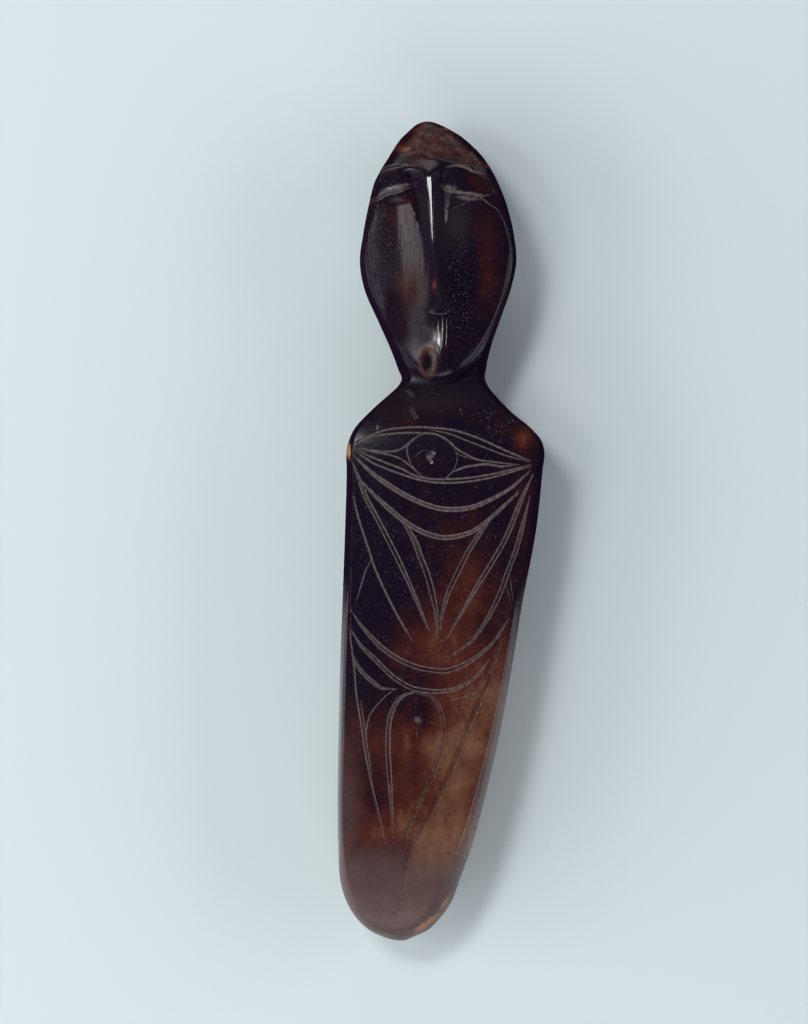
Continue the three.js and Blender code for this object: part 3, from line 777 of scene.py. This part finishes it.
def lattice(step):
    """Even points over one half of the skin, every other row shifted by half a step."""
    count = np.maximum((2 * half_girth(turns) / step).astype(int), 2)
    row = np.repeat(np.arange(len(turns)), count)
    nth = np.arange(count.sum()) - np.repeat(np.cumsum(count) - count, count)
    t = -1 + 2 * (nth + np.where(row % 2, 0.25, 0.75)) / count[row]
    keep = np.abs(t) < 1 - 0.7 / count[row]
    return t[keep], turns[row[keep]]


def beside(way, normal, offsets):
    """Points of a cross profile carried along a path, as rows of points to the side of each point."""
    offsets = np.broadcast_to(offsets, (len(way), np.shape(offsets)[-1]))
    return way[:, None, :] + normal[:, None, :] * offsets[:, :, None]


def jaw_way():
    """The jaw line from one temple round the chin to the other, evenly spaced."""
    up = JAW_CHIN + 0.001 + (TEMPLE_UP - JAW_CHIN) * np.linspace(0, 1, 150) ** 2
    along = np.clip((JAW_TOP - up) / (JAW_TOP - JAW_CHIN), 0, 1)
    half = JAW_HALF * np.maximum(1 - along**JAW_LENGTHWISE, 0) ** (1 / JAW_ACROSS)
    right = np.minimum(JAW_MIDDLE + half, right_edge(up) - JAW_CLEAR)
    left = np.maximum(JAW_MIDDLE - half, left_edge(up) + JAW_CLEAR)
    way = np.vstack([np.column_stack([left, up])[::-1], np.column_stack([right, up])])
    run = np.r_[0, np.cumsum(np.linalg.norm(np.diff(way, axis=0), axis=1))]
    even = np.linspace(0, run[-1], int(run[-1] / JAW_STEP))
    return np.column_stack([np.interp(even, run, way[:, k]) for k in (0, 1)])


def extra_points():
    """All the extra points of the front, most important first: each group as a net of rows across the
    way and columns along it, with the places and the width that it keeps clear."""
    for width, gaps, _, _, points in GRAVER_LINES:
        way, normal, run = smooth_way(points, TRACK_STEP)
        half = width * MM / 2
        gap = gap_along(gaps, run / run[-1])[:, None]
        track = np.array([-1.3, -0.95, -0.5, 0, 0.5, 0.95, 1.3]) * half
        if gap.max() > half * 0.9:
            # two tracks share the columns between them, which stay apart where the tracks meet
            inner = np.maximum(gap, half * 0.35)
            columns = np.hstack([-gap + track[:4], -inner * 0.5, inner * 0, inner * 0.5, gap + track[3:]])
        else:
            columns = track
        yield beside(way, normal, columns), way, gap.max() + half * 1.4
    for line in (FLAKE_BELOW, FLAKE_LEFT, FLAKE_RIGHT):
        way, normal, _ = smooth_way(line, FLAKE_STEP)
        yield beside(way, normal, np.arange(-0.6, 0.61, 0.15) * MM), way, 0.6 * MM
    jaw = jaw_way()
    profile = np.r_[-0.35, np.arange(-0.1, 1.0, 0.13), np.arange(1.0, 3.0, 0.25)] * MM
    band = beside(jaw, side_of(jaw), np.array([0.4, 1.6, 2.5]) * MM).reshape(-1, 2)
    yield beside(jaw, side_of(jaw), profile), band, 0.7 * MM
    over_tip = NOSE_TIP + 12
    up = np.r_[np.arange(948, over_tip, -NOSE_STEP), np.arange(over_tip, NOSE_TIP - 5, -TIP_STEP)]
    ridge = np.column_stack([nose_middle(up), up])
    level = np.tile([1.0, 0.0], (len(up), 1))
    part = np.array([-0.12, 0, 0.12, 0.35, 0.6, 0.85, 1, 1.15, 1.35])
    left, right, top_left, top_right = (
        edge(up)[:, None] - ridge[:, :1] for edge in (nose_left, nose_right, crest_left, crest_right)
    )
    left_flank = top_left + (left - top_left) * part[::-1]
    right_flank = top_right + (right - top_right) * part
    columns = [left_flank, top_left * 0, right_flank]
    band = beside(ridge, level, np.hstack([left * 0.6, left * 0, right * 0.6])).reshape(-1, 2)
    yield beside(ridge, level, np.hstack(columns)), band, 0.95 * MM


# A fine raster over the front, in which the groups of points claim their places
CELL = 0.09 * MM
RASTER_LEFT, RASTER_WIDE, RASTER_LOW, RASTER_TALL = -132, 270, -3, 1010
claimed = np.zeros((int(RASTER_WIDE / CELL), int(RASTER_TALL / CELL)), bool)


def cells(points):
    """The cells of the raster that hold some points."""
    i = ((points[:, 0] - RASTER_LEFT) / CELL).astype(int)
    j = ((points[:, 1] - RASTER_LOW) / CELL).astype(int)
    return np.clip(i, 0, claimed.shape[0] - 1), np.clip(j, 0, claimed.shape[1] - 1)


def claim(way, width):
    """Marks a width to both sides of a way as taken."""
    reach = int(width / CELL)
    i, j = cells(way)
    a, b = (side.ravel() for side in np.mgrid[-reach : reach + 1, -reach : reach + 1])
    disc = a * a + b * b <= (width / CELL) ** 2
    i = np.clip(i[:, None] + a[disc], 0, claimed.shape[0] - 1)
    j = np.clip(j[:, None] + b[disc], 0, claimed.shape[1] - 1)
    claimed[i, j] = True


def front_points():
    """Parameters of the front's inner points, and the edges to keep between them: every net where the
    ones before it left room, with edges along its columns, and then the lattice."""
    kept, edges, count = [], [], 0
    for net, way, width in extra_points():
        flat = net.reshape(-1, 2)
        u, inside = in_section(flat[:, 0], flat[:, 1])
        good = ~claimed[cells(flat)] & (np.abs(u) < 0.985) & (inside > 0.12) & (flat[:, 1] < 994)
        number = np.where(good, count + np.cumsum(good) - 1, -1).reshape(net.shape[:2])
        pairs = np.stack([number[:-1], number[1:]], 2).reshape(-1, 2)
        edges.append(pairs[(pairs >= 0).all(1)])
        kept.append(flat[good])
        count += good.sum()
        claim(np.vstack([way, (way[1:] + way[:-1]) / 2]), width)
    kept = np.vstack(kept)
    u, _ = in_section(kept[:, 0], kept[:, 1])
    t, turn = lattice(FRONT_STEP)
    free = ~claimed[cells(np.column_stack(place(t, turn)))]
    t = np.r_[np.arcsin(u) * 2 / math.pi, t[free]]
    return t, np.r_[turn_of(kept[:, 1]), turn[free]], np.vstack(edges)


def joined(t, turn, edges=()):
    """Places of the outline's points and of one half's, and triangles over them. They are worked out on
    the unrolled section, with the given edges kept, and where two edges cross a point is added."""
    t, turn = np.r_[rim_t, t], np.r_[rim_turn, turn]
    flat = np.column_stack([t * half_girth(turn), turn * 500])
    points = [tuple(p) for p in flat.tolist()]
    edges = [(a + len(rim_t), b + len(rim_t)) for a, b in edges]
    spots, _, faces, _, _, _ = delaunay_2d_cdt(points, edges, [list(range(len(rim_t)))], 1, 1e-4)
    spots = np.array([tuple(s) for s in spots])
    turn = np.clip(spots[:, 1] / 500, 0, math.pi)
    return *place(np.clip(spots[:, 0] / half_girth(turn), -1, 1), turn), np.array(faces)


def dull_rim(inside, up):
    """How far the sides have lost their gloss: all at the outline, less further in, and none at the
    round end, with an S between."""
    reach = 0.3 + 0.6 * ease((up - 380) / 80) - 0.2 * ease((up - 690) / 40)
    return (1 - ease((inside - reach) / 0.4)) * ease((up - 230) / 220)


def finished_front(across, up):
    """The front's height less all that is cut away, and the marks that the patina reads there."""
    _, inside = in_section(across, up)
    cut, dirt, dark = engrave(across, up)
    worn, pale, pecked, flake = age_marks(across, up)
    wave = WAVE * (hills(across, up, 42, 31) + 0.4 * hills(across, up, 15, 32))
    _, pit, lip = mouth(across, up)
    # The mouth's pit is painted dark, painted shade in the hollow, and its rim a little paler
    pale, dark = np.maximum(pale, 0.15 * lip), np.maximum(dark, 0.8 * pit * (1 - lip))
    flank = nose(across, up)[2]
    jaw = np.exp(-(((inside_jaw(across, up) - 5) / 11) ** 2)) * np.where(across < JAW_MIDDLE, 0.8, 0.55)
    jaw = jaw * ease((up - JAW_CHIN + 20) / 20)
    dull = np.maximum.reduce([dull_rim(inside, up), 0.9 * flank, pit, dark, 0.85 * pecked, jaw, 0.6 * lip])
    height = front_form(across, up) - (cut + worn - wave) * ease(inside * 1.4)
    dirt = np.maximum(dirt, pecked)
    return height, {"dirt": dirt, "dark": dark, "pale": pale, "flake": flake, "dull": dull}


across, up, front_triangles = joined(*front_points())
back_across, back_up, back_triangles = joined(*lattice(BACK_STEP))
rim_count = len(rim_t)
back_across, back_up = back_across[rim_count:], back_up[rim_count:]
height, marks = finished_front(across, up)
height[:rim_count] = 0

to_frame = np.array([-(left_edge(up).min() + right_edge(up).max()) / 2, -500, BACK_FLAT])
front_half = np.column_stack([across, up, height])
back_half = np.column_stack([back_across, back_up, -back_height(back_across, back_up)])
skin = (np.vstack([front_half, back_half]) + to_frame) * LENGTH / 1000
back_index = np.r_[np.arange(rim_count), np.arange(len(back_across)) + len(across)]
triangles = np.vstack([front_triangles, back_index[back_triangles][:, ::-1]])

mesh = bpy.data.meshes.new("figurine_carved")
mesh.from_pydata(skin.tolist(), [], triangles.tolist())
mesh.shade_smooth()

# Shading follows the true slopes of the height on the front, and the mesh's own near the outline
NUDGE, TRUSTED_TO = 0.02 * MM, 985
slope_across, slope_up = (
    (finished_front(across + a, up + b)[0] - finished_front(across - a, up - b)[0]) / (2 * NUDGE)
    for a, b in ((NUDGE, 0), (0, NUDGE))
)
true_normals = np.column_stack([-slope_across, -slope_up, np.ones_like(up)])
true_normals /= np.linalg.norm(true_normals, axis=1)[:, None]
normals = np.empty(len(skin) * 3)
mesh.vertex_normals.foreach_get("vector", normals)
normals = normals.reshape(-1, 3)
_, inside = in_section(across, up)
trust = (ease((inside - 0.25) / 0.5) * (up < TRUSTED_TO))[:, None]
normals[: len(across)] = normals[: len(across)] * (1 - trust) + true_normals * trust
mesh.normals_split_custom_set_from_vertices(normals.tolist())


def keep_on_skin(name, front, back=0.0):
    """Stores one value at every point of the skin for the material to read."""
    values = np.r_[front, np.zeros(len(back_across)) + back].astype(np.float32)
    mesh.attributes.new(name, "FLOAT", "POINT").data.foreach_set("value", values)


back_dull = dull_rim(in_section(back_across, back_up)[1], back_up)
for name, values in marks.items():
    keep_on_skin(name, values, back_dull if name == "dull" else 0.0)
figurine = bpy.data.objects.new("figurine_carved", mesh)
bpy.context.scene.collection.objects.link(figurine)
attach(figurine, "root")
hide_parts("figurine")

# The patina: ivory stained nearly black by the ground and by handling, glossy, with red-brown showing
# through in the middle and ochre towards the lower right. Pale dirt sits in the lines and speckles it, and
# the lower end is dull, with a greyish reflection of the floor painted into its colour.

# Where the stain is thin: middle of each glow in pixels, its reach across and along, and its strength
GLOWS = [
    ((464, 583), 28, 40, 0.31),
    ((430, 640), 50, 34, 0.36),
    ((500, 600), 30, 50, 0.13),
    ((478, 690), 44, 44, 0.34),
    ((385, 735), 26, 34, 0.30),
    ((455, 770), 46, 70, 0.50),
    ((440, 840), 50, 40, 0.42),
    ((385, 830), 30, 50, 0.14),
    ((350, 800), 16, 120, 0.30),
    ((400, 905), 70, 50, 0.44),
    ((452, 525), 40, 26, 0.12),
    ((524, 440), 13, 15, 0.40),
    ((520, 500), 12, 50, 0.20),
    ((487, 272), 13, 42, 0.26),
    ((482, 232), 17, 24, 0.12),
    ((410, 290), 15, 36, 0.30),
    ((398, 215), 18, 26, 0.20),
    ((404, 152), 9, 6, 0.50),
    ((421, 138), 14, 18, 0.26),
    ((445, 152), 26, 16, 0.22),
    ((421, 165), 13, 9, 0.14),
    ((477, 186), 13, 10, 0.24),
    ((434, 288), 2.4, 6, 0.60),
    ((503, 652), 11, 26, 0.19),
    ((496, 705), 12, 28, 0.22),
    ((480, 744), 20, 20, 0.18),
    ((436, 741), 22, 14, 0.19),
    ((398, 784), 15, 22, 0.13),
    ((374, 824), 16, 20, 0.21),
    ((404, 820), 14, 18, 0.15),
    ((400, 660), 14, 16, 0.09),
    ((432, 662), 14, 12, 0.05),
    ((427, 353), 6, 6, 0.34),
    ((452, 335), 22, 22, 0.10),
    ((395, 416), 30, 14, 0.15),
    ((500, 425), 16, 14, 0.16),
    ((408, 742), 9, 24, 0.20),
]
# Where the stain is thickest, and where handling has polished the surface
SHADES = [
    ((360, 560), 34, 90, 0.20),
    ((414, 745), 8, 20, 0.10),
    ((425, 715), 10, 16, 0.10),
    ((350, 640), 30, 40, 0.14),
    ((400, 852), 16, 20, 0.14),
    ((492, 640), 12, 18, 0.10),
    ((462, 300), 14, 40, 0.16),
    ((440, 300), 8, 22, 0.10),
    ((450, 370), 40, 14, 0.20),
]
POLISH = [((430, 215), 8, 60, 0.8), ((441, 340), 12, 24, 1.0), ((440, 385), 50, 12, 0.7)]
# Where the surface still shows the scraper's streaks
BRUSHED = [
    ((412, 235), 17, 60, 1.0),
    ((424, 290), 7, 30, 0.8),
    ((448, 235), 7, 40, 0.7),
    ((400, 880), 90, 40, 0.5),
]
# Where specks of dirt lie close together
DUSTY = [
    ((378, 245), 22, 46, 1.0),
    ((460, 285), 18, 44, 0.75),
    ((430, 328), 20, 16, 0.7),
    ((495, 428), 20, 18, 0.8),
    ((420, 178), 7, 5, 1.2),
    ((387, 180), 12, 8, 0.8),
    ((445, 620), 90, 160, 0.25),
]
# Where a greyish sheen is painted into the colour, and where it has lost its gloss
PAINTED_SHEEN_SPOTS = [
    ((456, 228), 13, 24, 0.4),
    ((440, 398), 40, 14, 0.22),
    ((346, 820), 14, 80, 0.65),
    ((504, 760), 8, 90, 0.8),
    ((480, 850), 8, 50, 0.7),
]
DULLED = [
    ((403, 335), 16, 26, 0.75),
    ((414, 292), 9, 22, 0.5),
    ((376, 250), 12, 40, 0.5),
    ((390, 300), 8, 20, 0.5),
    ((402, 296), 17, 22, 0.5),
    ((392, 326), 12, 24, 0.5),
    ((447, 177), 6, 9, 1.0),
    ((452, 192), 5, 12, 0.9),
]


def spread(spots):
    """The sum of bell-shaped spots over the whole skin."""
    amount = np.zeros(len(skin))
    for middle, wide, tall, strength in spots:
        x, y = at_pixel([middle])
        away = ((np.r_[across, back_across] - x) / (wide * PIXEL)) ** 2
        away += ((np.r_[up, back_up] - y) / (tall * PIXEL)) ** 2
        amount += strength * np.exp(-away)
    return amount


thin_stain = spread(GLOWS) - spread(SHADES)
# The lower end: a greyish painted reflection of the floor in its colour, and a rougher finish
toe = ease((140 - np.r_[up, back_up]) / 55)
for name, values in (
    ("glow", thin_stain),
    ("polish", np.clip(spread(POLISH), 0, 1)),
    ("brushed", np.clip(spread(BRUSHED), 0, 1)),
    ("dusty", spread(DUSTY)),
    ("satin_and_painted_sheen", np.maximum(toe, spread(PAINTED_SHEEN_SPOTS))),
    ("matt", np.clip(spread(DULLED), 0, 0.92)),
):
    keep_on_skin(name, values[: len(across)], values[len(across) :])

patina = bpy.data.materials.new("ivory_patina")
patina.use_nodes = True
nodes, links = patina.node_tree.nodes, patina.node_tree.links
nodes.clear()
place_on = nodes.new("ShaderNodeTexCoord")
shader = nodes.new("ShaderNodeBsdfPrincipled")
links.new(shader.outputs[0], nodes.new("ShaderNodeOutputMaterial").inputs["Surface"])


def plug(slot, value):
    """Fills an input with a number, a colour or another node's output."""
    if isinstance(value, tuple):
        slot.default_value = (*value, 1)
    elif isinstance(value, (int, float)):
        slot.default_value = value
    else:
        links.new(value, slot)


def total(operation, a, b, clamp=False):
    """One sum on the shader: a and b are numbers or the outputs of other nodes."""
    made = nodes.new("ShaderNodeMath")
    made.operation, made.use_clamp = operation, clamp
    plug(made.inputs[0], a)
    plug(made.inputs[1], b)
    return made.outputs[0]


def times(a, b):
    """a multiplied by b, on the shader."""
    return total("MULTIPLY", a, b)


def plus(a, b):
    """a and b added, on the shader."""
    return total("ADD", a, b)


def clamped(a):
    """a held between 0 and 1, on the shader."""
    return total("ADD", a, 0.0, True)


def blend(factor, a, b):
    """A mix of two colours, each given as numbers or as the output of another node."""
    made = nodes.new("ShaderNodeMix")
    made.data_type = "RGBA"
    plug(made.inputs[0], factor)
    plug(made.inputs[6], a)
    plug(made.inputs[7], b)
    return made.outputs[2]


def kept(name):
    """One of the skin's own values, by its name."""
    made = nodes.new("ShaderNodeAttribute")
    made.attribute_name = name
    return made.outputs["Fac"]


def on_piece(grain_mm, stretch):
    """Places on the piece in grains of a size in mm, stretched along the axes by the given amounts."""
    made = nodes.new("ShaderNodeMapping")
    made.inputs["Scale"].default_value = [1000 / grain_mm / s for s in stretch]
    links.new(place_on.outputs["Object"], made.inputs["Vector"])
    return made.outputs[0]


def noise(grain_mm, detail=3, rough=0.6, stretch=(1, 1, 1)):
    """Noise around zero, from about -0.5 to 0.5."""
    made = nodes.new("ShaderNodeTexNoise")
    made.inputs["Scale"].default_value = 1
    made.inputs["Detail"].default_value = detail
    made.inputs["Roughness"].default_value = rough
    links.new(on_piece(grain_mm, stretch), made.inputs["Vector"])
    return total("SUBTRACT", made.outputs["Fac"], 0.5)


def specks(grain_mm, size, share):
    """Round specks, one in some of the cells of a random pattern, each of its own size."""
    made = nodes.new("ShaderNodeTexVoronoi")
    made.inputs["Scale"].default_value = 1
    links.new(on_piece(grain_mm, (1, 1, 1)), made.inputs["Vector"])
    chance = nodes.new("ShaderNodeSeparateColor")
    links.new(made.outputs["Color"], chance.inputs[0])
    reach = times(times(chance.outputs[0], chance.outputs[0]), size)
    there = total("LESS_THAN", chance.outputs[1], share)
    return times(total("LESS_THAN", made.outputs["Distance"], reach), there)


def ramp(factor, stops):
    """Colours along a value, with straight blends between the stops."""
    made = nodes.new("ShaderNodeValToRGB")
    scale = made.color_ramp
    while len(scale.elements) < len(stops):
        scale.elements.new(0.5)
    for element, (position, colour) in zip(scale.elements, stops):
        element.position = position
        element.color = (*colour, 1)
    links.new(factor, made.inputs[0])
    return made.outputs[0]


# Its colour: the stain by its thickness, then painted sheen, specks, the flake's ground, dark marks, dirt
# and chips
streaks = noise(0.5, 2, 0.5, (0.5, 12, 1))
warmth = plus(kept("glow"), times(noise(11, 4, 0.6), 0.30))
warmth = plus(warmth, times(noise(2.6, 4, 0.65, (1, 1.5, 1)), 0.44))
warmth = plus(warmth, times(streaks, plus(0.08, times(kept("brushed"), 0.25))))
stain = ramp(
    warmth,
    [
        (0.00, (0.0075, 0.0035, 0.0110)),
        (0.12, (0.0130, 0.0050, 0.0100)),
        (0.26, (0.0330, 0.0085, 0.0090)),
        (0.42, (0.0700, 0.0185, 0.0125)),
        (0.60, (0.1380, 0.0650, 0.0370)),
        (0.80, (0.2000, 0.1080, 0.0580)),
        (1.00, (0.2600, 0.1560, 0.0850)),
    ],
)
# Painted sheen: a greyish colour stands in for the floor's reflection at the lower end and along the sides,
# and for a soft sheen on the right cheek and the neck
stain = blend(times(kept("satin_and_painted_sheen"), 0.50), stain, (0.090, 0.066, 0.070))
dark_specks = specks(1.6, 0.30, 0.25)
stain = blend(times(dark_specks, 0.55), stain, (0.02, 0.008, 0.008))
dusty = clamped(times(plus(kept("dusty"), times(noise(3, 3, 0.6), 1.6)), 1.4))
fine_specks = specks(0.27, 0.45, 0.55)
pale_specks = times(total("MAXIMUM", specks(0.45, 0.32, 0.5), fine_specks), dusty)
stain = blend(times(pale_specks, 0.36), stain, (0.20, 0.18, 0.22))
flaky = ramp(
    plus(0.5, times(noise(1.7, 5, 0.7), 2.6)),
    [
        (0.15, (0.010, 0.004, 0.008)),
        (0.50, (0.048, 0.012, 0.010)),
        (0.75, (0.088, 0.030, 0.020)),
        (0.95, (0.130, 0.085, 0.082)),
    ],
)
stain = blend(times(kept("flake"), 0.75), stain, flaky)
# The dark marks: black grime along some tracks, a darker band by each deep groove, and painted shade in the
# mouth's pit
stain = blend(clamped(times(kept("dark"), 0.95)), stain, (0.010, 0.006, 0.008))
crumbs = total("ADD", times(noise(0.35, 3, 0.7), 2.6), 0.78, True)
dirt = total("MULTIPLY", kept("dirt"), crumbs, True)
stain = blend(dirt, stain, (0.168, 0.132, 0.127))
stain = blend(kept("pale"), stain, (0.32, 0.165, 0.085))
links.new(stain, shader.inputs["Base Color"])

# Its gloss: smooth where it is polished, rougher where sheen is painted and under dirt, and matt where it
# is dull
polished = kept("polish")
gloss = plus(total("SUBTRACT", 0.17, times(polished, 0.05)), times(noise(1.6, 4, 0.7), 0.08))
gloss = plus(gloss, times(kept("satin_and_painted_sheen"), 0.20))
gloss = plus(gloss, times(dirt, 0.4))
gloss = plus(gloss, times(kept("brushed"), 0.06))
gloss = plus(gloss, times(kept("pale"), 0.25))
without_gloss = total("MAXIMUM", kept("dull"), kept("matt"))
gloss = plus(gloss, times(times(without_gloss, without_gloss), 0.30))
links.new(total("ADD", gloss, times(kept("flake"), 0.25), True), shader.inputs["Roughness"])
sheen = total("SUBTRACT", plus(0.34, times(polished, 0.2)), times(plus(dirt, kept("flake")), 0.2), True)
sheen = times(sheen, total("SUBTRACT", 1.0, without_gloss))
shader.inputs["Specular IOR Level"].default_value = 0.34
links.new(sheen, shader.inputs["Specular IOR Level"])

# Its finest relief: the scraper's streaks, a little grain, the flake's roughness, and sunk specks
bumps = plus(times(streaks, plus(0.12, times(kept("brushed"), 1.8))), times(noise(0.7, 3, 0.6), 0.25))
bumps = plus(bumps, times(times(noise(0.5, 4, 0.75), kept("flake")), 3.0))
bumps = total("SUBTRACT", bumps, times(pale_specks, 0.5))
bump = nodes.new("ShaderNodeBump")
bump.inputs["Strength"].default_value = 0.5
bump.inputs["Distance"].default_value = 0.00006
links.new(bumps, bump.inputs["Height"])
links.new(bump.outputs[0], shader.inputs["Normal"])
mesh.materials.append(patina)

# The floor: a plain pale sheet of matt board under the figurine, far wider than the picture shows. It
# belongs to the studio and not to the object.
FLOOR_REACH = 6  # metres to every side
corners = [(x * FLOOR_REACH, y * FLOOR_REACH, 0) for x, y in ((-1, -1), (1, -1), (1, 1), (-1, 1))]
floor_mesh = bpy.data.meshes.new("floor")
floor_mesh.from_pydata(corners, [], [(0, 1, 2, 3)])
floor = bpy.data.objects.new("floor", floor_mesh)
bpy.context.scene.collection.objects.link(floor)
sheet = bpy.data.materials.new("floor_sheet")
sheet.use_nodes = True
sheet_shader = sheet.node_tree.nodes["Principled BSDF"]
sheet_shader.inputs["Base Color"].default_value = (0.67, 0.775, 0.785, 1)
sheet_shader.inputs["Roughness"].default_value = 0.9
sheet_shader.inputs["Specular IOR Level"].default_value = 0.2
floor_mesh.materials.append(sheet)

# The lamps: a small soft box at the upper left makes the lights on nose and lip, and a dimmer one beside
# it the left cheek's sheen. Four broad ones stand low around the figurine, so that they light the floor
# and the sides and leave the front dark.
MIDDLE_HEIGHT = 0.0105  # metres, about the middle of the figurine's thickness
LAMP_AWAY = 1.2


def soft_box(name, azimuth, off_zenith, wide, tall, radiance, colour=(1, 1, 1)):
    """A rectangular lamp turned to the figurine, at an azimuth and an angle off the vertical in degrees.
    Its power is its radiance times its area in square metres and pi."""
    lamp = bpy.data.lights.new(name, "AREA")
    lamp.shape = "RECTANGLE"
    lamp.color = colour
    lamp.size, lamp.size_y = wide, tall
    lamp.energy = radiance * math.pi * wide * tall
    box = bpy.data.objects.new(name, lamp)
    a, e = math.radians(azimuth), math.radians(off_zenith)
    away = Vector((math.sin(e) * math.cos(a), math.sin(e) * math.sin(a), math.cos(e)))
    box.location = away * LAMP_AWAY + Vector((0, 0, MIDDLE_HEIGHT))
    box.rotation_euler = away.to_track_quat("Z", "Y").to_euler()
    bpy.context.scene.collection.objects.link(box)


soft_box("key", 133.5, 30.4, 0.30, 0.20, 24)
soft_box("left_sheen", 177, 34, 0.42, 0.30, 5.2, (1.0, 0.93, 1.0))
soft_box("left_low", 195, 70, 1.4, 0.7, 3.4)
soft_box("right_low", 0, 68, 1.4, 0.6, 2.5, (1.0, 0.95, 1.06))
soft_box("below_low", 262, 62, 1.4, 0.7, 2.2)
soft_box("above_low", 90, 74, 1.4, 0.5, 1.4)

# The room: pale where it meets the floor and dark overhead, so that the glossy front mirrors little of
# it. It belongs to the studio.
ROOM_STOPS = ((0.02, (0.56, 0.55, 0.60, 1)), (0.40, (0.02, 0.02, 0.024, 1)))
world = bpy.data.worlds.new("room")
bpy.context.scene.world = world
world.use_nodes = True
room = world.node_tree
heading = room.nodes.new("ShaderNodeTexCoord")
split = room.nodes.new("ShaderNodeSeparateXYZ")
shade = room.nodes.new("ShaderNodeValToRGB")
for stop, (height_share, tint) in zip(shade.color_ramp.elements, ROOM_STOPS):
    stop.position = height_share
    stop.color = tint
room.links.new(heading.outputs["Generated"], split.inputs[0])
room.links.new(split.outputs["Z"], shade.inputs[0])
room.links.new(shade.outputs[0], room.nodes["Background"].inputs[0])
bpy.context.scene.view_settings.view_transform = "Standard"

# The camera: straight above, so that the lying figurine is seen as the photograph shows it upright, and
# placed so that the picture has the photograph's frame and scale.
CAMERA_AWAY = 0.9
PICTURE_WIDE, PICTURE_TALL = 808, 1024
SENSOR = 36
METRES_PER_PIXEL = MM_PER_PIXEL / 1000
camera_data = bpy.data.cameras.new("camera")
camera = bpy.data.objects.new("camera", camera_data)
camera.location = (
    (PICTURE_WIDE / 2 - MIDDLE_PIXEL[0]) * METRES_PER_PIXEL,
    (MIDDLE_PIXEL[1] - PICTURE_TALL / 2) * METRES_PER_PIXEL,
    CAMERA_AWAY + MIDDLE_HEIGHT,
)
camera_data.sensor_width = SENSOR
camera_data.lens = SENSOR * CAMERA_AWAY / (PICTURE_TALL * METRES_PER_PIXEL)
camera_data.clip_end = 20
bpy.context.scene.collection.objects.link(camera)
bpy.context.scene.camera = camera
